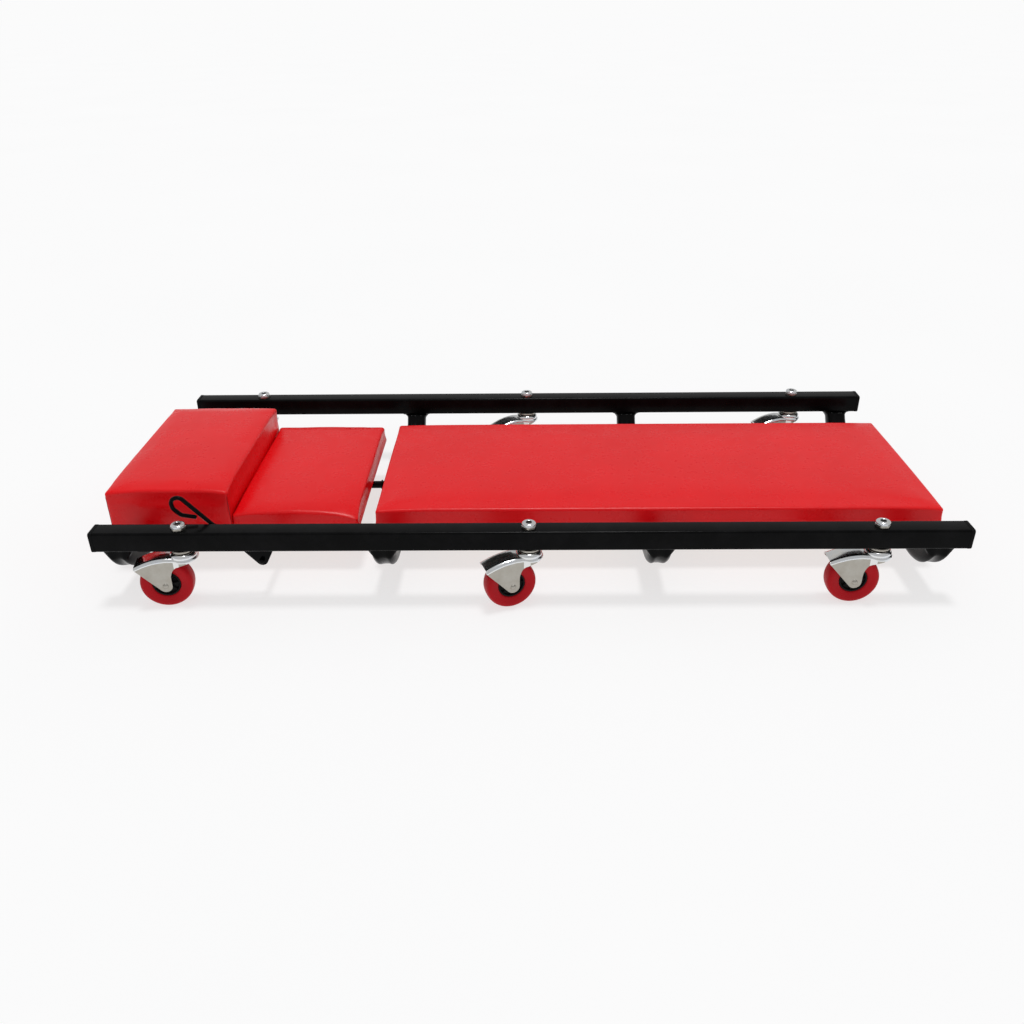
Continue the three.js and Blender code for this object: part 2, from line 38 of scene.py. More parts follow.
# ---------------------------------------------------------------- driving dimensions

PLACES = ["head_left", "mid_left", "foot_left", "head_right", "mid_right", "foot_right"]

OVERALL_LENGTH = 1016
RAIL_SIZE = 25
RAIL_WALL = 1.5
RAIL_CORNER = 3
RAIL_Y = 203.5
RAIL_BOTTOM = 75
RAIL_TOP = RAIL_BOTTOM + RAIL_SIZE
CAP_FLANGE = 4.5

CROSS_STATIONS = {"head": -482.5, "hinge": -171, "middle": 153.5, "foot": 477}
CROSS_RADIUS = 14
CROSS_RUN_Z = 42.7
CROSS_BEND = 52
CROSS_END_HALF_WIDTH = 21
CROSS_END_HALF_DEPTH = 6
CROSS_DENT = 3.0

PAD_HALF_WIDTH = 132.5
PAD_UNDERSIDE = 57
PAD_HEM = 21
HEM_SLOPE = 0.9
BOARD_INSET = 5
BODY_X = (-190, 510)
BODY_TOP = 83
HEAD_X = (-367.9, -211)
HEAD_TOP = 81.5
PILLOW_X = (-520.5, -368.3)
PILLOW_TOP = 112.5
# How far each corner of a pad is drawn down: near head, near foot, far head, far foot.
BODY_DIPS = (3.2, 3.2, 2.4, 2.4)
HEAD_DIPS = (6.5, 14.0, 1.5, 2.5)
PILLOW_DIPS = (5.5, 5.5, 2.5, 2.5)

TRAIL = 24.4
WHEEL_RADIUS = 31
AXLE_Z = 31
LEG_OUTER = 13.5
STEEL = 1.8
SKIRT_RADIUS = 17
HOOD_FILLET = 4.4

HINGE_X = -193
HINGE_Z = 50
ARM_Z = 51.6
ARM_RADIUS = 5
ARM_END = -440
SADDLE_X = (-238, -428)

PROP_X = -317
PROP_Z = 52.5
PROP_RADIUS = 3
PROP_BEND = 9
PROP_OUTER_Y = -200.5
PROP_INNER_Y = 106
CRANK_HALF_WIDTH = 45
CRANK_LENGTH = 90
CROSSBAR_DROP = 9.5
LUG_Y = -195
BEARER_Y = 100
HANDLE_Y = -187
HANDLE_RADIUS = 2.5
HANDLE_BEND = 8
HANDLE_ROUTE = [
    (-2.6, 2.6), (-55, 43.6), (-87, 79.4), (-99.5, 77.8), (-97.8, 65), (-89.5, 56.3), (-73, 53.6),
]

ROOM_GLOW = 0.55
FLOOR_EMISSION = 0.67
FLOOR_GLOW = 0.965

CAMERA_AT = (-6.8, -1118.7, 625.8)
CAMERA_PITCH = 0.5049
CAMERA_YAW = 0.0136
CAMERA_ROLL = -0.0111
CAMERA_LENS = 32.17


# ---------------------------------------------------------------- frame

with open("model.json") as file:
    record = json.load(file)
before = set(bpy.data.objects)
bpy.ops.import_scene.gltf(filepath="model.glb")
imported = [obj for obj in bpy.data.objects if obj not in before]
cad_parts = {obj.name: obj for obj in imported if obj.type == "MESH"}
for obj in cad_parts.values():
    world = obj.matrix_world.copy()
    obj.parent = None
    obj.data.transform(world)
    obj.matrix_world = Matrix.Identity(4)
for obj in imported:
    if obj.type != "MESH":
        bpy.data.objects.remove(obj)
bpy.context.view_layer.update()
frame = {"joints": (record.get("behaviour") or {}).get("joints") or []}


def rail_middle():
    """The creeper's own origin in the row frame, in metres: midway between the rails, on the floor."""
    left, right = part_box("rail_left"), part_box("rail_right")
    corners = [*left, *right]
    x = sum(c.x for c in corners) / 4
    y = sum(c.y for c in corners) / 4
    return Vector((x, y, 0))


ORIGIN = rail_middle()
AT_REST = Matrix.Translation(ORIGIN)


def caster_place(place):
    """Where a caster stands: its swivel axis at the origin of its own axes, its wheel trailing to -X."""
    joints = {j["name"]: Vector(j["pos_m"]) for j in frame["joints"]}
    swivel = joints[f"swivel_{place}"]
    back = joints[f"spin_{place}"] - swivel
    turn = math.atan2(-back.y, -back.x)
    return Matrix.Translation((swivel.x, swivel.y, 0)) @ Matrix.Rotation(turn, 4, "Z")


# ---------------------------------------------------------------- mesh helpers

def smoothstep(value, low, high):
    t = min(max((value - low) / (high - low), 0.0), 1.0)
    return t * t * (3 - 2 * t)


def lerp(a, b, t):
    return a + (b - a) * t


def arc(centre, radius, start, end, steps):
    """Points of a circular arc in two dimensions, from one angle to another."""
    angles = [lerp(start, end, i / steps) for i in range(steps + 1)]
    return [(centre[0] + radius * math.cos(a), centre[1] + radius * math.sin(a)) for a in angles]


def along(table, value):
    """Straight-line look-up in a table of (position, result), sorted by position."""
    if value <= table[0][0]:
        return table[0][1]
    for (a, first), (b, second) in zip(table, table[1:]):
        if value <= b:
            return lerp(first, second, (value - a) / (b - a))
    return table[-1][1]


def weave(rows, wrap_rows=False, wrap_columns=False, capped=False):
    """A skin over equal rows of points, closed on itself either way or capped at its end rows."""
    bm = bmesh.new()
    grid = [[bm.verts.new(p) for p in row] for row in rows]
    pairs = list(zip(grid, grid[1:]))
    if wrap_rows:
        pairs.append((grid[-1], grid[0]))
    for row, following in pairs:
        last = len(row) if wrap_columns else len(row) - 1
        for i in range(last):
            j = (i + 1) % len(row)
            bm.faces.new((row[i], row[j], following[j], following[i]))
    if capped:
        bm.faces.new(grid[0])
        bm.faces.new(grid[-1])
    bmesh.ops.remove_doubles(bm, verts=bm.verts, dist=1e-4)
    return bm


def spun(profile, segments, axis="Z", radius_at=None):
    """A profile of (radius, height) turned about an axis. radius_at may change a radius by angle."""
    rows = []
    for k in range(segments):
        angle = 2 * math.pi * k / segments
        row = []
        for i, (radius, height) in enumerate(profile):
            r = radius_at(i, radius, angle) if radius_at else radius
            if axis == "Z":
                row.append((r * math.cos(angle), r * math.sin(angle), height))
            else:
                row.append((r * math.cos(angle), height, r * math.sin(angle)))
        rows.append(row)
    return weave(rows, wrap_rows=True)


def mirrored_profile(side):
    """A closed profile from its half on the positive side, which may end on the middle line."""
    other = [(r, -y) for r, y in reversed(side) if y]
    return [*side, *other, side[0]]


def rounded_path(corners, bend, steps=10):
    """Points along a polyline whose corners are rounded to a bend radius."""
    corners = [Vector(c) for c in corners]
    points = [corners[0]]
    for before, corner, after in zip(corners, corners[1:], corners[2:]):
        a = (before - corner).normalized()
        b = (after - corner).normalized()
        half = a.angle(b) / 2
        start = corner + a * (bend / math.tan(half))
        centre = corner + (a + b).normalized() * (bend / math.sin(half))
        axis = -(start - centre).cross(a).normalized()
        sweep = math.pi - 2 * half
        for step in range(steps + 1):
            points.append(centre + Matrix.Rotation(sweep * step / steps, 3, axis) @ (start - centre))
    points.append(corners[-1])
    return points


def rod(points, radius, sides=20, rounded=1.0, ripple=None):
    """A round bar along points, its ends softened. ripple may change the radius along it."""
    rings = []
    guide = None
    count = len(points)
    for i, point in enumerate(points):
        ahead = (points[min(i + 1, count - 1)] - point)
        behind = (point - points[max(i - 1, 0)])
        tangent = (ahead.normalized() + behind.normalized()).normalized()
        first = Vector((1, 0, 0)) if abs(tangent.y) > 0.5 else Vector((0, 1, 0))
        guide = guide or first
        guide = (guide - tangent * guide.dot(tangent)).normalized()
        other = tangent.cross(guide)
        size = radius * (ripple(i) if ripple else 1)
        turns = [2 * math.pi * k / sides for k in range(sides)]
        ring = [point + (guide * math.cos(t) + other * math.sin(t)) * size for t in turns]
        if i in (0, count - 1):
            outwards = tangent if i else -tangent
            near = [(p - point) for p in ring]
            soft = [(0.0, 1.0), (0.55, 0.83), (0.9, 0.45)]
            ends = [[point + d * s + outwards * (radius * rounded * h) for d in near] for h, s in soft]
            rings += ends if i else reversed(ends)
        else:
            rings.append(ring)
    return weave(rings, wrap_columns=True, capped=True)


def bead(points, radius, closed=False):
    """A weld bead: a bar of uneven thickness along points."""
    def ripple(i):
        return 1 + 0.16 * math.sin(i * 2.1) + 0.08 * math.sin(i * 0.73 + 1)
    if closed:
        points = [*points, points[0]]
    return rod(points, radius, 10, 0.8, ripple)


def between(start, end, spacing):
    """Evenly spaced points from start to end."""
    start, end = Vector(start), Vector(end)
    count = max(2, round((end - start).length / spacing))
    return [start.lerp(end, i / count) for i in range(count + 1)]


def rounded_rectangle(width, height, radius, steps=6):
    """Corner-rounded outline in two dimensions, counter-clockwise."""
    points = []
    for quarter, (sx, sy) in enumerate([(1, 1), (-1, 1), (-1, -1), (1, -1)]):
        centre = (sx * (width / 2 - radius), sy * (height / 2 - radius))
        points += arc(centre, radius, quarter * math.pi / 2, (quarter + 1) * math.pi / 2, steps)
    return points


def plate(outline, start, end, axis="Y"):
    """An outline given thickness along an axis: (x, z) outlines along Y, (y, z) outlines along X."""
    if axis == "Y":
        rows = [[(u, level, v) for u, v in outline] for level in (start, end)]
    else:
        rows = [[(level, u, v) for u, v in outline] for level in (start, end)]
    return weave(rows, wrap_columns=True, capped=True)


def soften(bm, width, segments=2, angle=40):
    """Rounds every edge that turns by more than an angle."""
    bmesh.ops.recalc_face_normals(bm, faces=bm.faces)
    limit = math.radians(angle)
    edges = [e for e in bm.edges if len(e.link_faces) == 2 and e.calc_face_angle() > limit]
    bmesh.ops.bevel(bm, geom=edges, offset=width, segments=segments, profile=0.5,
                    affect="EDGES", clamp_overlap=True)
    return bm


def merged(parts):
    """Several meshes as one."""
    whole = bmesh.new()
    for bm in parts:
        mesh = bpy.data.meshes.new("part")
        bm.to_mesh(mesh)
        bm.free()
        whole.from_mesh(mesh)
        bpy.data.meshes.remove(mesh)
    return whole


def moved(bm, matrix):
    bm.transform(matrix)
    return bm


def to_mesh(name, bm, *looks, crease=35):
    """Turns a finished bmesh in millimetres into a smooth-shaded mesh in metres."""
    bmesh.ops.recalc_face_normals(bm, faces=bm.faces)
    bm.transform(Matrix.Scale(MM, 4))
    mesh = bpy.data.meshes.new(name)
    bm.to_mesh(mesh)
    bm.free()
    mesh.polygons.foreach_set("use_smooth", [True] * len(mesh.polygons))
    mesh.set_sharp_from_angle(angle=math.radians(crease))
    for look in looks:
        mesh.materials.append(look)
    return mesh


def in_scene(name, data):
    """A new object of that data, linked to the scene."""
    made = bpy.data.objects.new(name, data)
    bpy.context.scene.collection.objects.link(made)
    return made


def show(name, mesh, body, stands_for=(), place=AT_REST):
    """Puts a mesh in the scene, riding on a body, in place of CAD nodes."""
    piece = in_scene(name, mesh)
    piece.matrix_world = place
    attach(piece, body)
    if stands_for:
        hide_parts(*stands_for)
    return piece


# ---------------------------------------------------------------- materials

class Look:
    """A procedural material: a Principled shader with textures in the piece's own coordinates."""

    def __init__(self, name, roughness, metallic=0.0, specular=0.5):
        self.material = bpy.data.materials.new(name)
        self.material.use_nodes = True
        self.tree = self.material.node_tree
        self.shader = self.tree.nodes["Principled BSDF"]
        self.shader.inputs["Roughness"].default_value = roughness
        self.shader.inputs["Metallic"].default_value = metallic
        self.shader.inputs["Specular IOR Level"].default_value = specular
        self.coordinates = self.tree.nodes.new("ShaderNodeTexCoord").outputs["Object"]
        self.last_normal = None

    def node(self, kind, **values):
        made = self.tree.nodes.new(kind)
        for key, value in values.items():
            setattr(made, key, value)
        return made

    def link(self, output, target):
        self.tree.links.new(output, target)

    def stretched(self, scale):
        """The piece's coordinates stretched along its axes."""
        mapping = self.node("ShaderNodeMapping")
        mapping.inputs["Scale"].default_value = scale
        self.link(self.coordinates, mapping.inputs["Vector"])
        return mapping.outputs["Vector"]

    def noise(self, scale, detail=3.0, rough=0.5, stretch=None):
        made = self.node("ShaderNodeTexNoise")
        made.inputs["Scale"].default_value = scale
        made.inputs["Detail"].default_value = detail
        made.inputs["Roughness"].default_value = rough
        source = self.stretched(stretch) if stretch else self.coordinates
        self.link(source, made.inputs["Vector"])
        return made.outputs["Fac"]

    def cells(self, scale, feature="DISTANCE_TO_EDGE"):
        made = self.node("ShaderNodeTexVoronoi", feature=feature)
        made.inputs["Scale"].default_value = scale
        self.link(self.coordinates, made.inputs["Vector"])
        return made.outputs["Distance"]

    def ramp(self, source, low, high, first, second):
        """Maps a value between two limits to a value between two others."""
        made = self.node("ShaderNodeMapRange")
        for socket, value in zip(("From Min", "From Max", "To Min", "To Max"), (low, high, first, second)):
            made.inputs[socket].default_value = value
        self.link(source, made.inputs["Value"])
        return made.outputs["Result"]

    def blend(self, source, first, second):
        """A colour between two, by a value."""
        made = self.node("ShaderNodeMix", data_type="RGBA")
        self.link(source, made.inputs["Factor"])
        for socket, colour in ((6, first), (7, second)):
            if isinstance(colour, tuple):
                made.inputs[socket].default_value = (*colour, 1)
            else:
                self.link(colour, made.inputs[socket])
        return made.outputs[2]

    def colour(self, output):
        self.link(output, self.shader.inputs["Base Color"])

    def roughness(self, pattern, least, most):
        """Lets the roughness wander between two values with a pattern."""
        self.link(self.ramp(pattern, 0.3, 0.7, least, most), self.shader.inputs["Roughness"])

    def bump(self, height, strength, depth):
        """Adds relief; several calls are laid over each other. depth is in millimetres."""
        made = self.node("ShaderNodeBump")
        made.inputs["Strength"].default_value = strength
        made.inputs["Distance"].default_value = depth * MM
        self.link(height, made.inputs["Height"])
        if self.last_normal:
            self.link(self.last_normal, made.inputs["Normal"])
        self.last_normal = made.outputs["Normal"]
        self.link(self.last_normal, self.shader.inputs["Normal"])


def red_vinyl():
    """Stretched upholstery vinyl: pebbled grain, faint pull marks and a little handling shine."""
    look = Look("red_vinyl", 0.29, specular=0.24)
    tone = look.noise(9, 4, 0.6)
    deep = look.blend(look.ramp(tone, 0.35, 0.68, 0, 1), (0.74, 0.002, 0.005), (0.80, 0.003, 0.007))
    pores = look.cells(820)
    look.colour(look.blend(look.ramp(pores, 0.0, 0.10, 0.16, 0), deep, (0.40, 0.001, 0.003)))
    look.roughness(look.noise(46, 5, 0.6), 0.24, 0.34)
    look.bump(look.ramp(pores, 0.0, 0.22, 0, 1), 0.28, 0.10)
    look.bump(look.noise(2600, 2, 0.5), 0.12, 0.05)
    look.bump(look.noise(24, 3, 0.5), 0.22, 0.9)
    return look.material


def vinyl_seam():
    """The drawn-in welt of a sewn corner, its red darkened as painted shade of the seam."""
    look = Look("vinyl_seam", 0.5, specular=0.2)
    look.colour(look.blend(look.noise(900, 3), (0.26, 0.001, 0.003), (0.42, 0.002, 0.005)))
    look.bump(look.noise(1500, 2), 0.4, 0.15)
    return look.material


def powder_coat():
    """Black powder coat: orange peel, a few light scuffs and a little dust."""
    look = Look("powder_coat", 0.22, specular=0.06)
    dust = look.noise(38, 6, 0.7)
    base = look.blend(look.ramp(dust, 0.45, 0.75, 0, 1), (0.0016, 0.0016, 0.0018), (0.0048, 0.0048, 0.0052))
    scuff = look.noise(150, 5, 0.75, stretch=(0.16, 1.0, 1.0))
    look.colour(look.blend(look.ramp(scuff, 0.72, 0.80, 0, 0.35), base, (0.030, 0.029, 0.028)))
    look.roughness(look.noise(24, 5, 0.65), 0.16, 0.28)
    look.bump(look.noise(420, 2, 0.4), 0.20, 0.10)
    look.bump(look.noise(1400, 2, 0.5), 0.06, 0.04)
    return look.material


def weld_coat():
    """The same coat over a rippled weld bead."""
    look = Look("weld_coat", 0.34, specular=0.06)
    look.colour(look.blend(look.noise(260, 4), (0.0016, 0.0016, 0.0018), (0.007, 0.0068, 0.0065)))
    look.bump(look.noise(620, 3), 0.5, 0.3)
    return look.material


def cap_plastic():
    """Moulded black end caps with a fine spark-eroded grain."""
    look = Look("cap_plastic", 0.5, specular=0.06)
    look.colour(look.blend(look.noise(60, 4), (0.0022, 0.0022, 0.0024), (0.0055, 0.0055, 0.0058)))
    look.roughness(look.noise(90, 4), 0.42, 0.58)
    look.bump(look.noise(1900, 2), 0.35, 0.08)
    return look.material


def bright_zinc():
    """Bright zinc plate on pressed steel: soft drawing lines, slight yellow and blue bloom."""
    look = Look("bright_zinc", 0.16, metallic=1.0)
    bloom = look.noise(52, 4, 0.6)
    plate_tone = look.blend(look.ramp(bloom, 0.35, 0.65, 0, 1), (0.80, 0.79, 0.75), (0.72, 0.75, 0.79))
    stain = look.noise(170, 5, 0.7)
    look.colour(look.blend(look.ramp(stain, 0.62, 0.78, 0, 0.5), plate_tone, (0.40, 0.385, 0.36)))
    look.roughness(look.noise(120, 5, 0.7, stretch=(0.35, 1, 1)), 0.11, 0.25)
    look.bump(look.noise(95, 3, 0.5), 0.10, 0.25)
    look.bump(look.noise(900, 2, 0.5, stretch=(0.25, 1, 1)), 0.05, 0.04)
    return look.material


def satin_zinc_and_shade():
    """Duller plating on fixings. Also a darker copy of the bright plating on the fork's flat leg faces, as
    painted shade, and on the nut's hexagon, as a painted reflection of the rail.
    """
    look = Look("satin_zinc_and_shade", 0.34, metallic=1.0)
    bloom = look.noise(60, 5, 0.65)
    look.colour(look.blend(look.ramp(bloom, 0.3, 0.7, 0, 1), (0.36, 0.335, 0.29), (0.44, 0.425, 0.385)))
    look.roughness(look.noise(140, 5, 0.7), 0.28, 0.44)
    look.bump(look.noise(620, 3), 0.14, 0.06)
    return look.material


def painted_shade_steel():
    """Near-black steel: painted shade for the kingpin's end down the nut and for the screws' slots."""
    look = Look("painted_shade_steel", 0.4, metallic=0.9)
    look.colour(look.blend(look.noise(420, 4), (0.035, 0.034, 0.033), (0.10, 0.098, 0.094)))
    look.bump(look.noise(900, 3), 0.3, 0.08)
    return look.material


def red_tread():
    """Cast red wheel tread with faint mould swirl and a dusting of floor dirt."""
    look = Look("red_tread", 0.4, specular=0.14)
    dirt = look.noise(95, 6, 0.7)
    swirl = look.ramp(look.noise(40, 3), 0.3, 0.7, 0, 1)
    clean = look.blend(swirl, (0.38, 0.0015, 0.006), (0.45, 0.002, 0.008))
    look.colour(look.blend(look.ramp(dirt, 0.60, 0.80, 0, 0.30), clean, (0.22, 0.012, 0.012)))
    look.roughness(look.noise(85, 5), 0.33, 0.50)
    look.bump(look.noise(720, 3), 0.16, 0.08)
    return look.material


def hub_plastic():
    """Black moulded wheel centres."""
    look = Look("hub_plastic", 0.42, specular=0.10)
    look.colour(look.blend(look.noise(130, 5, 0.7), (0.0035, 0.0035, 0.004), (0.009, 0.0088, 0.0085)))
    look.roughness(look.noise(160, 4), 0.34, 0.52)
    look.bump(look.noise(1300, 3), 0.25, 0.07)
    return look.material


def plywood():
    """Thin birch board: long grain, pores and slightly darker figure."""
    look = Look("plywood", 0.7, specular=0.3)
    grain = look.noise(55, 6, 0.6, stretch=(0.10, 1.0, 1.0))
    figure = look.blend(look.ramp(grain, 0.3, 0.7, 0, 1), (0.50, 0.33, 0.18), (0.62, 0.45, 0.27))
    pores = look.noise(700, 3, 0.6, stretch=(0.06, 1.0, 1.0))
    look.colour(look.blend(look.ramp(pores, 0.60, 0.74, 0, 0.6), figure, (0.26, 0.15, 0.075)))
    look.roughness(grain, 0.6, 0.8)
    look.bump(pores, 0.4, 0.15)
    return look.material


def pale_floor():
    """Lit from within as well as from above, so that no deep shadow lies under the creeper."""
    look = Look("pale_floor", 0.9, specular=0.0)
    look.colour(look.blend(look.noise(1.4, 3), (0.29, 0.29, 0.292), (0.31, 0.31, 0.312)))
    look.shader.inputs["Emission Color"].default_value = (1, 1, 1, 1)
    look.shader.inputs["Emission Strength"].default_value = FLOOR_EMISSION
    return look.material


VINYL = red_vinyl()
SEAM = vinyl_seam()
COAT = powder_coat()
WELD = weld_coat()
CAP = cap_plastic()
ZINC = bright_zinc()
SATIN_AND_SHADE = satin_zinc_and_shade()
PAINTED_SHADE = painted_shade_steel()
TREAD = red_tread()
HUB = hub_plastic()
WOOD = plywood()


# ---------------------------------------------------------------- stage

def add_camera():
    """Stands the camera where the creeper was seen from."""
    pitch, yaw, roll = CAMERA_PITCH, CAMERA_YAW, CAMERA_ROLL
    forward = Vector((-math.sin(yaw) * math.cos(pitch), math.cos(yaw) * math.cos(pitch), -math.sin(pitch)))
    level = Vector((math.cos(yaw), math.sin(yaw), 0))
    upright = level.cross(forward)
    right = level * math.cos(roll) + upright * math.sin(roll)
    up = upright * math.cos(roll) - level * math.sin(roll)
    data = bpy.data.cameras.new("camera")
    data.lens = CAMERA_LENS
    data.sensor_width = 36
    data.clip_start = 0.02
    data.clip_end = 200
    camera = in_scene("camera", data)
    turned = Matrix((right, up, -forward)).transposed().to_4x4()
    camera.matrix_world = Matrix.Translation(ORIGIN + Vector(CAMERA_AT) * MM) @ turned
    bpy.context.scene.camera = camera


def add_light(name, kind, at, aim, power, **values):
    data = bpy.data.lights.new(name, kind)
    data.energy = power
    for key, value in values.items():
        setattr(data, key, value)
    light = in_scene(name, data)
    light.location = at
    light.rotation_mode = "QUATERNION"
    light.rotation_quaternion = (Vector(aim) - Vector(at)).to_track_quat("-Z", "Y")


def add_room():
    """A pale floor in an even, soft room, one key light overhead."""
    bm = bmesh.new()
    bmesh.ops.create_grid(bm, x_segments=8, y_segments=8, size=60000)
    floor = in_scene("floor", to_mesh("floor", bm, pale_floor()))
    floor.location = (0, 0, -0.0002)

    world = bpy.data.worlds.new("room")
    bpy.context.scene.world = world
    world.use_nodes = True
    tree = world.node_tree
    background = tree.nodes["Background"]
    background.inputs["Strength"].default_value = ROOM_GLOW
    background.inputs["Color"].default_value = (1, 1, 1, 1)
    seen = tree.nodes.new("ShaderNodeBackground")
    seen.inputs["Color"].default_value = (1, 1, 1, 1)
    seen.inputs["Strength"].default_value = FLOOR_GLOW
    rays = tree.nodes.new("ShaderNodeLightPath")
    choice = tree.nodes.new("ShaderNodeMixShader")
    tree.links.new(rays.outputs["Is Camera Ray"], choice.inputs["Fac"])
    tree.links.new(background.outputs["Background"], choice.inputs[1])
    tree.links.new(seen.outputs["Background"], choice.inputs[2])
    tree.links.new(choice.outputs["Shader"], tree.nodes["World Output"].inputs["Surface"])

    add_light("key", "SUN", (0.1, 0.05, 2.0), (0, 0, 0), 1.35, angle=math.radians(11))
    bpy.context.scene.view_settings.view_transform = "Standard"


# ---------------------------------------------------------------- frame pieces

def rail_mesh():
    half = OVERALL_LENGTH / 2 - CAP_FLANGE - 0.3
    outer = rounded_rectangle(RAIL_SIZE, RAIL_SIZE, RAIL_CORNER)
    inner = rounded_rectangle(RAIL_SIZE - 2 * RAIL_WALL, RAIL_SIZE - 2 * RAIL_WALL, RAIL_CORNER - RAIL_WALL)
    xs = [-half + 2 * half * i / 24 for i in range(25)]
    outside = [[(x, u, v) for u, v in outer] for x in xs]
    inside = [[(x, u, v) for u, v in inner] for x in reversed(xs)]
    return to_mesh("rail", weave([*outside, *inside], wrap_rows=True, wrap_columns=True), COAT)


def cap_mesh():
    """A pushed-in cap: ribbed plug, then a flange a hair prouder than the tube, with a domed face."""
    rings = []
    plug = RAIL_SIZE - 2 * RAIL_WALL - 0.8
    for size, x, corner in [
        (plug - 2, -16, 1.4), (plug, -13.5, 1.4), (plug, -11, 1.4), (plug - 0.8, -10.6, 1.4),
        (plug - 0.8, -8.4, 1.4), (plug, -8, 1.4), (plug, -5.5, 1.4), (plug - 0.8, -5.1, 1.4),
        (plug - 0.8, -0.2, 1.4), (RAIL_SIZE + 0.1, -0.1, 3.0), (RAIL_SIZE + 0.5, 0.4, 3.2),
        (RAIL_SIZE + 0.5, CAP_FLANGE - 1.0, 3.2), (RAIL_SIZE - 0.1, CAP_FLANGE - 0.3, 3.0),
        (RAIL_SIZE - 1.6, CAP_FLANGE + 0.1, 2.4), (RAIL_SIZE - 9, CAP_FLANGE + 0.3, 2.0),
    ]:
        rings.append([(x, u, v) for u, v in rounded_rectangle(size, size, corner)])
    return to_mesh("cap", weave(rings, wrap_columns=True, capped=True), CAP, crease=50)


def cross_section(bend, centre, across, sides=48):
    """Round along the run, pinched into two ridges on the bend, flattened and spread under the rail."""
    pinch = smoothstep(bend, 0.1, 0.55)
    flare = smoothstep(bend, 0.85, 1)
    half_width = lerp(CROSS_RADIUS, CROSS_END_HALF_WIDTH, flare)
    half_depth = lerp(CROSS_RADIUS - pinch, CROSS_END_HALF_DEPTH, flare)
    power = lerp(1, 0.74, pinch)
    ring = []
    for i in range(sides):
        angle = 2 * math.pi * i / sides
        c, s = math.cos(angle), math.sin(angle)
        width = half_width * math.copysign(abs(c) ** power, c)
        dent = CROSS_DENT * pinch * (1 - flare) * (1 - smoothstep(abs(width), 1.5, 8.5))
        depth = math.copysign(max(half_depth * abs(s) ** power - dent, 0), s)
        ring.append(centre + Vector((width, 0, 0)) + across * depth)
    return ring


def cross_rings(steps=34):
    """The rings of half a cross member, from its middle to the flattened end under the rail."""
    bend_centre = CROSS_RUN_Z + CROSS_BEND
    end_z = RAIL_BOTTOM
    end_angle = math.acos((bend_centre - end_z) / CROSS_BEND)
    reach = RAIL_Y - CROSS_BEND * math.sin(end_angle) - 1
    rings = [cross_section(0, Vector((0, y, CROSS_RUN_Z)), Vector((0, 0, 1))) for y in (0, reach / 2)]
    for step in range(steps + 1):
        bend = step / steps
        angle = end_angle * bend
        across = Vector((0, -math.sin(angle), math.cos(angle)))
        centre = Vector((0, reach, bend_centre)) - across * CROSS_BEND
        rings.append(cross_section(bend, centre, across))
    level = [Vector((p.x, p.y + (end_z - p.z) / math.tan(end_angle), end_z)) for p in rings[-1]]
    squared = [ring for ring in rings if max(p.z for p in ring) < end_z]
    return [*squared, level]


def cross_mesh():
    half = cross_rings()
    other = [[Vector((p.x, -p.y, p.z)) for p in ring] for ring in half[1:]]
    tube = weave([*reversed(other), *half], wrap_columns=True, capped=True)
    return to_mesh("cross_member", tube, COAT, crease=50)


def cross_weld_mesh():
    """The bead round each flattened end, where it meets the rail."""
    end = cross_rings()[-1]
    middle = sum(end, Vector()) / len(end)
    loop = [middle + (p - middle) * 1.02 - Vector((0, 0, 1.1)) for p in end]
    path = []
    for a, b in zip(loop, loop[1:] + loop[:1]):
        path += between(a, b, 1.4)[:-1] if (b - a).length > 1.4 else [a]
    other = [Vector((p.x, -p.y, p.z)) for p in path]
    return to_mesh("weld", merged([bead(path, 1.5, True), bead(other, 1.5, True)]), WELD)


def add_frame():
    rail, cap = rail_mesh(), cap_mesh()
    for side, sign in (("left", 1), ("right", -1)):
        centre = Vector((0, sign * RAIL_Y, RAIL_BOTTOM + RAIL_SIZE / 2))
        place = AT_REST @ Matrix.Translation(centre * MM)
        show(f"tube_rail_{side}", rail, "frame", [f"rail_{side}"], place)
        for end, turn in (("head", math.pi), ("foot", 0)):
            seat = Matrix.Translation((OVERALL_LENGTH / 2 * MM - CAP_FLANGE * MM, 0, 0))
            where = place @ Matrix.Rotation(turn, 4, "Z") @ seat
            stands_for = [f"end_cap_{end}_{side}"]
            show(f"moulded_cap_{end}_{side}", cap, "frame", stands_for, where)
    tube, weld = cross_mesh(), cross_weld_mesh()
    for name, x in CROSS_STATIONS.items():
        place = AT_REST @ Matrix.Translation((x * MM, 0, 0))
        show(f"cross_tube_{name}", tube, "frame", [f"cross_member_{name}"], place)
        show(f"cross_weld_{name}", weld, "frame", [], place)


# ---------------------------------------------------------------- cushions

def axis_lines(low, high, radius, step, extra=()):
    """Grid positions across a rounded box: equal angles round each edge, even steps between."""
    round_off = [radius * math.tan(math.radians(a)) for a in (11.25, 22.5, 33.75, 45)]
    inner_low, inner_high = low + radius, high - radius
    count = max(1, round((inner_high - inner_low) / step))
    inner = [lerp(inner_low, inner_high, i / count) for i in range(count + 1)]
    spread = [x for x in inner if all(abs(x - e) > step * 0.35 for e in extra)]
    lines = [*spread, *extra]
    lines += [inner_low - d for d in round_off] + [inner_high + d for d in round_off]
    return sorted(lines)


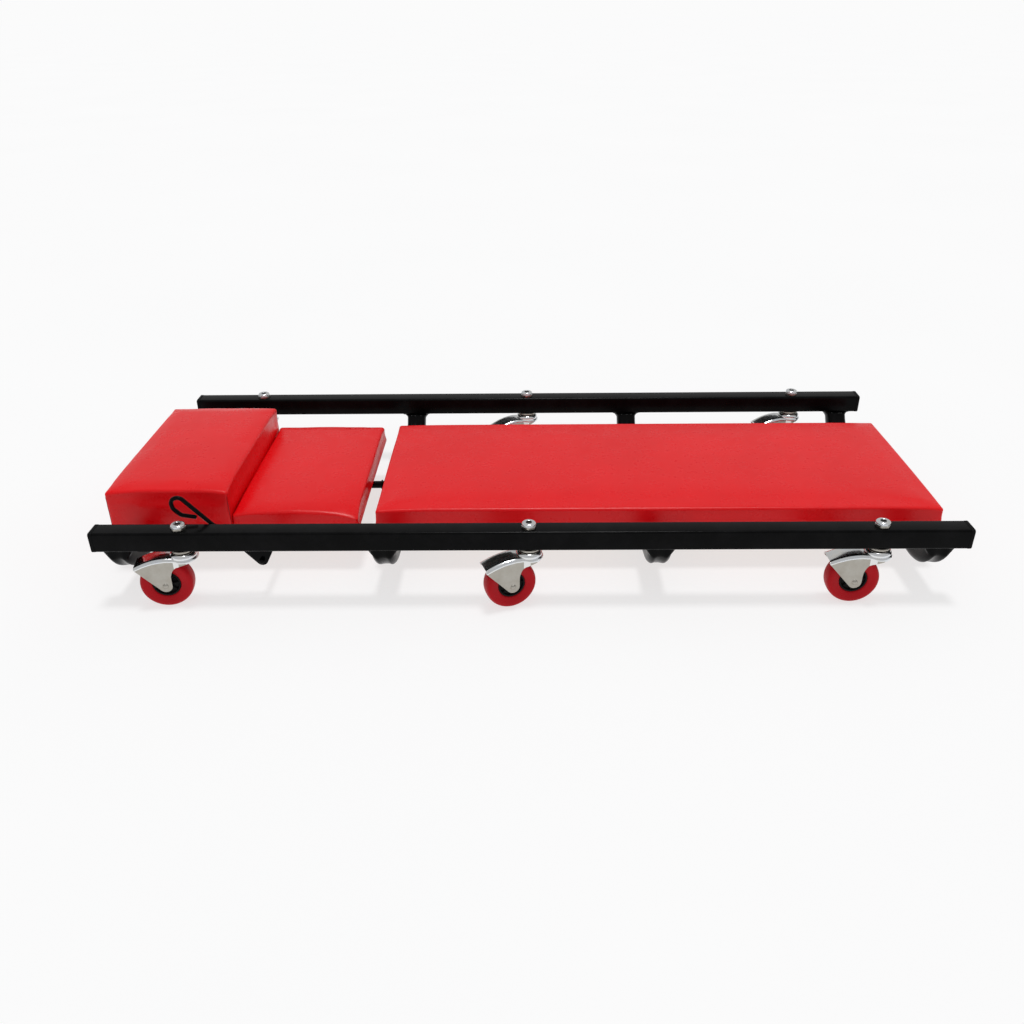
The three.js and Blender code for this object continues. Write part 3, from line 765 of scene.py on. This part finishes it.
def soft_box(low, high, plan_radius, edge_radius, step, hem_x=(), hem_y=()):
    """A closed box of quads with rounded edges, finer where it turns."""
    radii = (plan_radius, plan_radius, edge_radius)
    extras = (hem_x, hem_y, ())
    steps = (step, step, step * 0.6)
    lines = [axis_lines(low[i], high[i], radii[i], steps[i], extras[i]) for i in range(3)]
    core_low = [low[i] + radii[i] for i in range(3)]
    core_high = [high[i] - radii[i] for i in range(3)]
    bm = bmesh.new()
    verts = {}

    def vertex(index):
        if index not in verts:
            point = [lines[i][index[i]] for i in range(3)]
            core = [min(max(point[i], core_low[i]), core_high[i]) for i in range(3)]
            out = Vector([(point[i] - core[i]) / radii[i] for i in range(3)])
            if out.length > 1e-6:
                out.normalize()
            verts[index] = bm.verts.new([core[i] + out[i] * radii[i] for i in range(3)])
        return verts[index]

    for fixed in range(3):
        first, second = [i for i in range(3) if i != fixed]
        for level in (0, len(lines[fixed]) - 1):
            for a in range(len(lines[first]) - 1):
                for b in range(len(lines[second]) - 1):
                    corners = []
                    for da, db in ((0, 0), (1, 0), (1, 1), (0, 1)):
                        index = [0, 0, 0]
                        index[fixed], index[first], index[second] = level, a + da, b + db
                        corners.append(vertex(tuple(index)))
                    bm.faces.new(corners)
    bmesh.ops.recalc_face_normals(bm, faces=bm.faces)
    return bm


def swell(mesh, low, cap, pressure=4.0, frames=20):
    """Inflates a cushion as cloth with its underside held, keeping each move under a cap in millimetres."""
    rest = [v.co.copy() for v in mesh.vertices]
    trial = in_scene("trial", mesh)
    held = trial.vertex_groups.new(name="held")
    top = max(v.z for v in rest)
    for i, v in enumerate(rest):
        grip = 1 - smoothstep(v.z, low * MM + 0.003, lerp(low * MM, top, 0.35))
        if grip > 0:
            held.add([i], grip, "REPLACE")
    cloth = trial.modifiers.new("cloth", "CLOTH")
    cloth.settings.quality = 5
    cloth.settings.mass = 0.3
    cloth.settings.use_pressure = True
    cloth.settings.uniform_pressure_force = pressure
    cloth.settings.tension_stiffness = 15
    cloth.settings.bending_stiffness = 2.0
    cloth.settings.effector_weights.gravity = 0
    cloth.settings.vertex_group_mass = "held"
    cloth.point_cache.frame_start = 1
    cloth.point_cache.frame_end = frames
    for number in range(1, frames + 1):
        bpy.context.scene.frame_set(number)
    graph = bpy.context.evaluated_depsgraph_get()
    swollen = [v.co.copy() for v in trial.evaluated_get(graph).data.vertices]
    bpy.data.objects.remove(trial)
    bpy.context.scene.frame_set(1)
    limit = cap * MM
    return [a + (b - a) * (limit / (limit + (b - a).length)) for a, b in zip(rest, swollen)]


def fade(distance, reach):
    """1 at an edge, dying away inwards."""
    return math.exp(-max(distance, 0) / reach)


def cushion_form(point, x_range, top, crown, tuck, dips):
    """Crowns the top, bellies the sides, draws them in at the board and pulls each corner down."""
    start, end = x_range
    along_x = (point.x - start) / (end - start) * 2 - 1
    along_y = point.y / PAD_HALF_WIDTH
    height = (point.z - PAD_UNDERSIDE) / (top - PAD_UNDERSIDE)
    rise = max(height, 0) ** 2
    edge_x = min(point.x - start, end - point.x)
    edge_y = PAD_HALF_WIDTH - abs(point.y)
    fullness = (1 - fade(edge_x, 42)) * (1 - fade(edge_y, 42))
    corner = fade(edge_x, 26) * fade(edge_y, 26)
    lift = crown * fullness - dips[(point.y > 0) * 2 + (along_x > 0)] * corner
    side = min(max(height, 0), 1)
    inward = tuck * (1 - side) ** 1.4
    corner_in = corner * rise
    belly = 1.3 * math.sin(math.pi * side)
    belly_x = belly * (1 - along_y ** 2)
    belly_y = belly * (1 - along_x ** 2)
    shift_x = math.copysign(fade(edge_x, 9) * (belly_x - inward) - corner_in, along_x)
    shift_y = math.copysign(fade(edge_y, 9) * (belly_y - inward) - corner_in, along_y)
    return Vector((point.x + shift_x, point.y + shift_y, point.z + rise * lift))


def cushion_mesh(name, x_range, top, plan_radius, edge_radius, crown, tuck, dips, hems, cap):
    """A padded board seen as its stretched cover, with the hem turned under it."""
    start, end = x_range
    low = (start + 0.3, -PAD_HALF_WIDTH + 0.3, PAD_UNDERSIDE)
    high = (end - 0.3, PAD_HALF_WIDTH - 0.3, top + 0.4)
    hem_x = [e for e, there in ((start + PAD_HEM, hems[0]), (end - PAD_HEM, hems[1])) if there]
    hem_x += [e + s for e, s in zip(hem_x, [HEM_SLOPE] * hems[0] + [-HEM_SLOPE] * hems[1])]
    hem_y = [s * (PAD_HALF_WIDTH - PAD_HEM) for s in (-1, 1)]
    hem_y += [s * (PAD_HALF_WIDTH - PAD_HEM - HEM_SLOPE) for s in (-1, 1)]
    bm = soft_box(low, high, plan_radius, edge_radius, 7.5, hem_x, hem_y)
    bm.transform(Matrix.Scale(MM, 4))
    mesh = bpy.data.meshes.new(name)
    bm.to_mesh(mesh)
    bm.free()
    swollen = swell(mesh, PAD_UNDERSIDE, cap)

    open_x = (start + PAD_HEM if hems[0] else -1e9, end - PAD_HEM if hems[1] else 1e9)
    for vertex, place in zip(mesh.vertices, swollen):
        point = cushion_form(place / MM, x_range, top, crown, tuck, dips)
        underneath = point.z < PAD_UNDERSIDE + 1.2
        inside_x = open_x[0] + 0.5 < point.x < open_x[1] - 0.5
        if underneath and inside_x and abs(point.y) < PAD_HALF_WIDTH - PAD_HEM - 0.5:
            point.z = PAD_UNDERSIDE + 1.4
        vertex.co = point * MM

    piece = in_scene(name, mesh)
    fine = piece.modifiers.new("fine", "SUBSURF")
    fine.levels = fine.render_levels = 1
    graph = bpy.context.evaluated_depsgraph_get()
    smooth = bpy.data.meshes.new_from_object(piece.evaluated_get(graph))
    bpy.data.objects.remove(piece)
    smooth.name = name
    smooth.polygons.foreach_set("use_smooth", [True] * len(smooth.polygons))
    smooth.materials.clear()
    smooth.materials.append(VINYL)
    return smooth


def board_mesh(start, end):
    length = end - start - 2 * BOARD_INSET
    width = 2 * (PAD_HALF_WIDTH - BOARD_INSET)
    outline = [(u + (start + end) / 2, v) for u, v in rounded_rectangle(length, width, 6)]
    rows = [[(u, v, z) for u, v in outline] for z in (PAD_UNDERSIDE + 0.7, PAD_UNDERSIDE + 6)]
    return to_mesh("board", soften(weave(rows, wrap_columns=True, capped=True), 0.4), WOOD)


def staple_mesh(rows):
    """Staples across the hem: rows of (start, end) lines, each staple lying along its line."""
    parts = []
    for start, end in rows:
        way = (Vector(end) - Vector(start)).normalized()
        for centre in between(start, end, 34):
            legs = [centre - way * 5 + Vector((0, 0, 1.6)), centre - way * 5, centre + way * 5,
                    centre + way * 5 + Vector((0, 0, 1.6))]
            parts.append(rod(rounded_path(legs, 0.6, 4), 0.45, 8))
    return to_mesh("staples", merged(parts), SATIN_AND_SHADE)


def staple_rows(start, end):
    z = PAD_UNDERSIDE - 0.15
    x0, x1, y = start + 13, end - 13, PAD_HALF_WIDTH - 13
    inset = 26
    return [
        ((x0 + inset, -y, z), (x1 - inset, -y, z)),
        ((x0 + inset, y, z), (x1 - inset, y, z)),
        ((x0, -y + inset, z), (x0, y - inset, z)),
        ((x1, -y + inset, z), (x1, y - inset, z)),
    ]


def corner_seam(mesh, corner_x, sign):
    """A drawn-in welt up one vertical corner of the pillow, laid on its finished surface."""
    levels = [PAD_UNDERSIDE + 3 + (PILLOW_TOP - PAD_UNDERSIDE - 13) * i / 16 for i in range(17)]
    corner = Vector((corner_x, sign * PAD_HALF_WIDTH))
    points = []
    for level in levels:
        band = [v.co / MM for v in mesh.vertices if abs(v.co.z / MM - level) < 2.6]
        close = min(band, key=lambda p: (p.xy - corner).length)
        points.append(Vector((close.x, close.y, level)))
    softened = [points[0]]
    for before, here, after in zip(points, points[1:], points[2:]):
        softened.append((before + here * 2 + after) / 4)
    return rod([*softened, points[-1]], 0.45, 10)


def add_pads():
    body = cushion_mesh(
        "body_cover", BODY_X, BODY_TOP + 1.6, plan_radius=4, edge_radius=3.4,
        crown=1.2, tuck=2.0, dips=BODY_DIPS, hems=(True, True), cap=1.2,
    )
    show("body_cover", body, "frame", ["body_cushion"])
    show("body_backing", board_mesh(*BODY_X), "frame", ["body_board"])
    show("body_staples", staple_mesh(staple_rows(*BODY_X)), "frame")

    flat = cushion_mesh(
        "head_cover", HEAD_X, HEAD_TOP + 0.8, plan_radius=5, edge_radius=3.8,
        crown=2.6, tuck=2.0, dips=HEAD_DIPS, hems=(False, True), cap=1.8,
    )
    show("head_cover", flat, "headrest", ["head_cushion"])
    pillow = cushion_mesh(
        "pillow_cover", PILLOW_X, PILLOW_TOP + 0.6, plan_radius=4, edge_radius=3.8,
        crown=2.6, tuck=0.4, dips=PILLOW_DIPS, hems=(True, False), cap=1.8,
    )
    seams = [corner_seam(pillow, x, s) for x in PILLOW_X for s in (-1, 1)]
    show("pillow_cover", pillow, "headrest", ["head_pillow"])
    show("pillow_seams", to_mesh("pillow_seams", merged(seams), SEAM), "headrest")
    whole = (PILLOW_X[0], HEAD_X[1])
    show("head_backing", board_mesh(*whole), "headrest", ["head_board"])
    show("head_staples", staple_mesh(staple_rows(*whole)), "headrest")


# ---------------------------------------------------------------- fixings

def screw_mesh(places):
    """Pan-head screws seen from below, at points on the face that they bear on."""
    parts = []
    for x, y, z in places:
        profile = [(0, -2.9), (2.4, -2.8), (3.9, -2.0), (4.5, -0.9), (4.6, 0), (2.0, 0.2), (2.0, 3), (0, 3)]
        head = spun(profile, 28)
        slots = []
        # The cross slots are near-black bars set a hair proud of the head: painted shade of the slot.
        for turn in (0, math.pi / 2):
            bar = soften(plate([(-2.2, -3.05), (2.2, -3.05), (1.2, -2.2), (-1.2, -2.2)], -0.35, 0.35), 0.08)
            slots.append(moved(bar, Matrix.Rotation(turn, 4, "Z")))
        for bm, index in ((head, 0), *((s, 1) for s in slots)):
            for face in bm.faces:
                face.material_index = index
        part = merged([head, *slots])
        parts.append(moved(part, Matrix.Translation((x, y, z))))
    return to_mesh("screws", merged(parts), SATIN_AND_SHADE, PAINTED_SHADE)


def add_screws():
    under_tube = CROSS_RUN_Z - CROSS_RADIUS
    spots = [(CROSS_STATIONS[n], y, under_tube) for n in ("hinge", "middle", "foot") for y in (-92, 92)]
    show("board_screws", screw_mesh(spots), "frame")
    foot = PAD_UNDERSIDE - 0.3 - 2
    spots = [(x, s * 12.6, foot) for x in SADDLE_X for s in (-1, 1)]
    show("saddle_screws", screw_mesh(spots), "headrest")


# ---------------------------------------------------------------- headrest hinge and prop

def add_hinge():
    lean = Matrix.Translation((HINGE_X, 0, HINGE_Z))
    eye_profile = mirrored_profile([(3.4, 4.6), (3.8, 5.0), (5.8, 5.0), (6.4, 4.4)])
    eye = moved(spun(eye_profile, 48, "Y"), lean)
    bar = rod(between((HINGE_X - 5.4, 0, ARM_Z), (ARM_END, 0, ARM_Z), 12), ARM_RADIUS, 28, 0.3)
    collar = [Vector((HINGE_X - 7.0, y, z)) for y, z in arc((0, ARM_Z), 5.6, 0, 2 * math.pi, 26)[:-1]]
    arm = to_mesh("hinge_bar", merged([eye, bar, bead(collar, 1.0, True)]), COAT)
    show("hinge_bar", arm, "headrest", ["hinge_arm"])

    pin_profile = [
        (0, -11.2), (3.4, -11.0), (4.8, -10.0), (5.0, -8.9), (3.0, -8.7),
        (3.0, 8.7), (5.0, 8.9), (5.0, 10.4), (4.4, 10.9), (2.2, 11.2), (0, 10.6),
    ]
    pin = to_mesh("hinge_rivet", moved(spun(pin_profile, 36, "Y"), lean), SATIN_AND_SHADE)
    show("hinge_rivet", pin, "frame", ["hinge_pin"])
    show("hinge_ears", clevis_mesh(), "frame", ["hinge_clevis"])


def clevis_mesh():
    """Two ears round the knuckle and the bridge below it, hugging the cross tube."""
    tube_x = CROSS_STATIONS["hinge"]
    top = arc((HINGE_X, HINGE_Z), 6.7, math.pi / 2, math.pi, 10)
    hug = arc((tube_x, CROSS_RUN_Z), CROSS_RADIUS + 0.2, math.radians(197), math.radians(132), 10)
    low = HINGE_Z - 11.4
    outline = [*top, (HINGE_X - 6.7, low + 4), (HINGE_X - 2, low), *hug]
    ears = [soften(plate(outline, y, y + 3), 0.5) for y in (-8.4, 5.4)]
    under = [(HINGE_X - 6.2, low + 4), (HINGE_X - 2, low + 0.6), hug[0], hug[3], (HINGE_X, HINGE_Z - 7.4)]
    bridge = plate(under, -6, 6)
    beads = [bead([Vector((x - 0.4, y, z)) for x, z in hug], 1.2) for y in (-8.8, 8.8)]
    return to_mesh("hinge_ears", merged([*ears, bridge, *beads]), COAT)


def saddle_mesh():
    """A pressed strap round the arm, its two feet against the board."""
    clear, thick, half = 5.5, 2.0, 17
    roof, floor = PAD_UNDERSIDE - 0.3, ARM_Z - clear
    outer = [(-half, roof - thick), (-clear - thick, roof - thick)]
    for i in range(9):
        angle = math.pi + math.pi * i / 8
        outer.append(((clear + thick) * math.cos(angle), floor + 3.4 + clear * math.sin(angle)))
    outer += [(clear + thick, roof - thick), (half, roof - thick), (half, roof), (clear, roof)]
    inner = [(clear * math.cos(a), floor + 3.4 + (clear - 1.6) * math.sin(a))
             for a in [-math.pi * i / 8 for i in range(9)]]
    outline = [*outer, *inner, (-clear, roof), (-half, roof)]
    return to_mesh("saddle", soften(plate(outline, -8, 8, "X"), 0.35, angle=60), SATIN_AND_SHADE)


def add_saddles():
    strap = saddle_mesh()
    for i, x in enumerate(SADDLE_X):
        place = AT_REST @ Matrix.Translation((x * MM, 0, 0))
        show(f"arm_strap_{i + 1}", strap, "headrest", [f"arm_saddle_{i + 1}"], place)


def add_prop():
    crank_x = -math.sqrt(CRANK_LENGTH ** 2 - CROSSBAR_DROP ** 2)

    def at(x, y, z):
        return (PROP_X + x, y, PROP_Z + z)

    corners = [
        at(0, PROP_OUTER_Y, 0), at(0, -CRANK_HALF_WIDTH, 0),
        at(crank_x, -CRANK_HALF_WIDTH, -CROSSBAR_DROP), at(crank_x, CRANK_HALF_WIDTH, -CROSSBAR_DROP),
        at(0, CRANK_HALF_WIDTH, 0), at(0, PROP_INNER_Y, 0),
    ]
    bail = to_mesh("bail_rod", rod(rounded_path(corners, PROP_BEND, 14), PROP_RADIUS, 24, 0.4), COAT)
    show("bail_rod", bail, "prop", ["prop_bail"])

    route = [Vector(at(x, HANDLE_Y, z)) for x, z in HANDLE_ROUTE]
    wire = rod(rounded_path(route, HANDLE_BEND, 16), HANDLE_RADIUS, 20, 0.6)
    foot = Vector(at(0, HANDLE_Y, 0))
    ring = [foot + Vector((3.2 * math.cos(t), 2.6 * math.sin(t * 2), 3.2 * math.sin(t)))
            for t in [0.25 * math.pi + 2 * math.pi * k / 22 for k in range(22)]]
    handle = to_mesh("handle_wire", merged([wire, bead(ring, 1.1, True)]), COAT)
    show("handle_wire", handle, "prop", ["prop_handle"])

    show("pivot_lug", lug_mesh(), "frame", ["prop_lug"])
    show("pivot_bearer", bearer_mesh(), "frame", ["prop_bearer"])


def lug_mesh():
    """A hanging plate under the near rail that carries the outer end of the bail, with its weld."""
    to_head, to_foot, tip = 29, 19.5, 7.1
    outline = arc((PROP_X, PROP_Z), tip, 1.23 * math.pi, 1.85 * math.pi, 14)
    outline += [(PROP_X + to_foot, RAIL_BOTTOM), (PROP_X - to_head, RAIL_BOTTOM)]
    blade = soften(plate(outline, LUG_Y - 2, LUG_Y + 2), 0.6)
    welds = []
    for y in (LUG_Y - 2.4, LUG_Y + 2.4):
        z = RAIL_BOTTOM - 0.6
        welds.append(bead(between((PROP_X - to_head, y, z), (PROP_X + to_foot, y, z), 1.5), 1.3))
    return to_mesh("pivot_lug", merged([blade, *welds]), COAT)


def bearer_mesh():
    """A flat bar on edge from the head cross tube, notched at its end for the inner end of the bail."""
    tube_x, low, high = CROSS_STATIONS["head"], 42, 56.4
    hug = arc((tube_x, CROSS_RUN_Z), CROSS_RADIUS, math.radians(-3), math.radians(77), 12)
    clear = PROP_RADIUS + 0.4
    seat = arc((PROP_X, PROP_Z), clear, math.pi, 2 * math.pi, 12)
    end = PROP_X + 9
    outline = [*hug, (PROP_X - clear, high), *seat, (PROP_X + clear, high)]
    outline += [(end, high), (end, low + 5), (end - 5, low)]
    bar = soften(plate(outline, BEARER_Y - 2, BEARER_Y + 2), 0.4)
    beads = [bead([Vector((x + 0.3, y, z)) for x, z in hug], 1.2) for y in (BEARER_Y - 2.4, BEARER_Y + 2.4)]
    return to_mesh("pivot_bearer", merged([bar, *beads]), COAT)


# ---------------------------------------------------------------- casters
# Caster axes: the swivel axis on Z, the wheel trailing to -X, its axle along Y. "Behind" is a distance
# behind the swivel axis.

HOOD_TOP = [(-20, 66.0), (-4, 66.0), (4, 66.2), (12, 66.9), (20, 67.6), (27, 67.2), (34, 66.2), (40, 64.7),
            (46, 62.8), (52, 60.4), (58, 57.8)]
SKIRT_EDGE = [(-19, 62.4), (-12, 61.8), (-4, 60.4), (3, 58.4), (8, 55.8), (11.5, 53.0), (13.8, 50.0),
              (15, 47.4), (16.2, 43.6), (16.5, 39), (16.6, 31.4)]
LEG_BACK = [(30.3, 25.9), (54.2, 52.9), (57.5, 56.6)]
LEG_TIP = 7.8


def lower_edge(behind):
    """Height of the pressed sheet's cut edge."""
    if behind <= 16.6:
        return along(SKIRT_EDGE, behind)
    if behind < 30.3:
        return AXLE_Z - math.sqrt(LEG_TIP ** 2 - (TRAIL - behind) ** 2)
    return along(LEG_BACK, behind)


def hood_plan():
    """One side of the hood seen from above: (behind, half width, where the top plate folds in to)."""
    tail = [56.6, 55.6, 54.2, 52, 49, 46, 43, 40, 37, 34, 31.6, 30.3, 29, 27.6, 26, 24.4, 22.8, 21.2]
    tail += [19.8, 18.8, 18, 17.4, 17, 16.75, 16.6, 16.5, 16.4, 16.2, 15.8, 15.3, 14.6, 13.6, 12.4]
    tail += [11, 9.5, 8, 6.5, 5.2]
    plan = []
    for behind in tail:
        round_width = math.sqrt(max(SKIRT_RADIUS ** 2 - behind ** 2, 0))
        half = lerp(round_width, LEG_OUTER, smoothstep(behind, 5, 15)) if behind < 15 else LEG_OUTER
        plan.append((behind, half, behind))
    start = math.acos(4 / SKIRT_RADIUS)
    return plan + [(*point, 0) for point in arc((0, 0), SKIRT_RADIUS, start, math.pi, 18)]


def hood_row(behind, half, spine, side):
    """Points of the sheet's outside from its cut edge, up the wall, over the fillet and in to the spine."""
    top = along(HOOD_TOP, behind)
    bottom = min(lower_edge(behind), top - 1.6)
    shoulder = max(top - HOOD_FILLET, bottom + 0.4)
    fillet = top - shoulder
    outside = Vector((-behind, side * half, 0))
    inwards = Vector((-spine, 0, 0)) - outside
    reach = inwards.length
    inwards = inwards.normalized() if reach > 1e-6 else Vector((0, 0, 0))
    row = [outside + Vector((0, 0, lerp(bottom, shoulder, i / 9))) for i in range(10)]
    for i in range(1, 7):
        angle = math.pi / 2 * i / 6
        off = min(HOOD_FILLET, reach) * (1 - math.cos(angle))
        row.append(outside + inwards * off + Vector((0, 0, shoulder + fillet * math.sin(angle))))
    edge = row[-1]
    middle = Vector((-spine, 0, along(HOOD_TOP, spine)))
    row += [edge.lerp(middle, i / 4) for i in range(1, 5)]
    return row


def fork_mesh():
    """The pressed fork: hood, skirt and two legs from one sheet, and the race's drum on top."""
    plan = hood_plan()
    left = [hood_row(*station, 1) for station in plan]
    right = [hood_row(*station, -1) for station in reversed(plan[:-1])]
    sheet = weave([*left, *right])
    bmesh.ops.remove_doubles(sheet, verts=sheet.verts, dist=0.02)
    bmesh.ops.recalc_face_normals(sheet, faces=sheet.faces)
    outside = next(f for f in sheet.faces if f.calc_center_median().y > LEG_OUTER - 0.05)
    if outside.normal.y < 0:
        bmesh.ops.reverse_faces(sheet, faces=sheet.faces)
    bmesh.ops.solidify(sheet, geom=sheet.faces[:], thickness=STEEL)
    soften(sheet, 0.35, 2, 65)
    # The flat outer faces of the legs, below the fillet, take the darker satin copy of the plating: painted
    # shade on the sides against the bright top.
    for face in sheet.faces:
        middle = face.calc_center_median()
        flat = abs(face.normal.y) > 0.97 and middle.z < along(HOOD_TOP, -middle.x) - HOOD_FILLET
        face.material_index = 1 if flat else 0
    drum_profile = [
        (5.6, 64.4), (15.0, 64.4), (15.7, 65.2), (15.8, 66.8), (15.5, 68.0), (14.7, 69.3), (13.2, 70.4),
        (11.4, 71.0), (9.6, 71.2), (5.6, 71.2), (5.6, 64.4),
    ]
    drum = spun(drum_profile, 72)
    return to_mesh("fork", merged([sheet, drum]), ZINC, SATIN_AND_SHADE, crease=40)


def tyre_mesh():
    side = [
        (16.5, 7.6), (17.0, 8.4), (18.2, 8.9), (20.5, 9.5), (23.5, 10.2), (25.6, 10.5), (27.4, 10.25),
        (28.8, 9.5), (29.8, 8.2), (30.4, 6.6), (30.78, 4.4), (30.95, 2.2), (WHEEL_RADIUS, 0),
    ]
    return to_mesh("tyre", spun(mirrored_profile(side), 96, "Y"), TREAD, crease=60)


def hub_mesh():
    """A moulded centre: boss, ribbed web and rim lip."""
    side = [
        (3.4, 10.9), (5.9, 11.1), (6.5, 10.6), (6.9, 5.0), (7.4, 4.3), (10.4, 4.1), (13.2, 4.3),
        (13.9, 4.9), (14.3, 7.5), (14.8, 8.0), (16.0, 8.0), (16.45, 7.5),
    ]
    profile = mirrored_profile(side)
    segments = 96
    rows = []
    for k in range(segments):
        angle = 2 * math.pi * k / segments
        off_rib = abs((angle + math.pi / 8) % (math.pi / 4) - math.pi / 8)
        rib = 1 - smoothstep(off_rib, 0.05, 0.11)
        row = []
        for radius, y in profile:
            web = 6.9 < radius < 14.0
            lifted = math.copysign(max(abs(y), 6.6), y) if web else y
            row.append((radius * math.cos(angle), lerp(y, lifted, rib), radius * math.sin(angle)))
        rows.append(row)
    return to_mesh("hub", weave(rows, wrap_rows=True), HUB, crease=40)


def axle_mesh():
    """A plain rivet with a domed head on one side and a rolled-over end on the other."""
    out = LEG_OUTER
    profile = [
        (0, -out - 1.9), (1.2, -out - 1.8), (2.4, -out - 1.3), (3.1, -out - 0.6), (3.4, -out - 0.05),
        (3.0, -out), (3.0, out), (3.4, out + 0.05), (3.3, out + 0.8), (2.6, out + 1.4), (1.8, out + 1.6),
        (1.2, out + 1.0), (0, out + 0.7),
    ]
    return to_mesh("axle", spun(profile, 36, "Y"), SATIN_AND_SHADE)


def stem_mesh():
    """The kingpin: rivet head below the plate, upper race under the rail, threaded end in the nut."""
    profile = [
        (0, 62.0), (5.4, 62.1), (6.5, 62.6), (6.9, 63.6), (5.0, 63.8), (5.0, 72.3), (12.6, 72.3),
        (13.2, 72.9), (13.2, 74.2), (12.6, 74.9), (5.0, 74.9),
    ]
    z = 96.0
    while z < 104:
        profile += [(4.95, z), (4.35, z + 0.75)]
        z += 1.5
    profile += [(4.6, 104.4), (4.2, 105.0), (0, 105.1)]
    return to_mesh("stem", spun(profile, 40), SATIN_AND_SHADE)


def nut_mesh():
    """A hexagon lock nut with a wide rolled collar over its nylon ring."""
    base = RAIL_TOP
    profile = [
        (5.2, base), (8.4, base), (8.9, base + 0.4), (9.0, base + 1.0), (9.0, base + 2.6),
        (8.7, base + 3.2),
        (7.8, base + 3.5), (7.7, base + 3.8), (8.2, base + 4.1), (8.4, base + 4.7), (8.3, base + 5.4),
        (7.8, base + 6.1), (6.8, base + 6.7), (5.4, base + 7.0), (4.1, base + 6.9), (3.6, base + 6.6),
        (3.5, base + 6.0), (5.2, base + 5.6), (5.2, base),
    ]
    hexagonal = (1, 2, 3, 4, 5)

    def radius_at(i, radius, angle):
        if i not in hexagonal:
            return radius
        return min(radius, 8.0 / math.cos(angle % (math.pi / 3) - math.pi / 6))

    bm = spun(profile, 72, radius_at=radius_at)
    # The hexagon below the collar takes the darker satin plating: painted reflection of the black rail it
    # stands on.
    for face in bm.faces:
        face.material_index = 1 if face.calc_center_median().z < base + 3.2 else 0
    return to_mesh("nut", bm, ZINC, SATIN_AND_SHADE, crease=30)


def thread_mesh():
    """The end of the kingpin, seen down the middle of the nut, coloured near-black as painted shade."""
    profile = [(0, 105.5), (3.2, 105.4), (3.9, 105.1), (3.9, 104), (0, 104)]
    return to_mesh("thread_end_shade", spun(profile, 32), PAINTED_SHADE)


def add_casters():
    fork, tyre, hub, axle = fork_mesh(), tyre_mesh(), hub_mesh(), axle_mesh()
    stem, nut, thread = stem_mesh(), nut_mesh(), thread_mesh()
    wheel_seat = Matrix.Translation((-TRAIL * MM, 0, AXLE_Z * MM))
    for place in PLACES:
        stand = caster_place(place)
        wheel = stand @ wheel_seat
        show(f"pressed_fork_{place}", fork, f"caster_{place}", [f"fork_{place}"], stand)
        show(f"axle_rivet_{place}", axle, f"caster_{place}", [f"axle_{place}"], wheel)
        show(f"tread_{place}", tyre, f"wheel_{place}", [f"tyre_{place}"], wheel)
        show(f"wheel_centre_{place}", hub, f"wheel_{place}", [f"hub_{place}"], wheel)
        show(f"kingpin_{place}", stem, "frame", [f"stem_{place}"], stand)
        show(f"lock_collar_{place}", nut, "frame", [f"lock_nut_{place}"], stand)
        show(f"thread_end_shade_{place}", thread, "frame", [], stand)


# ---------------------------------------------------------------- assembly

add_camera()
add_room()
add_frame()
add_pads()
add_screws()
add_hinge()
add_saddles()
add_prop()
add_casters()
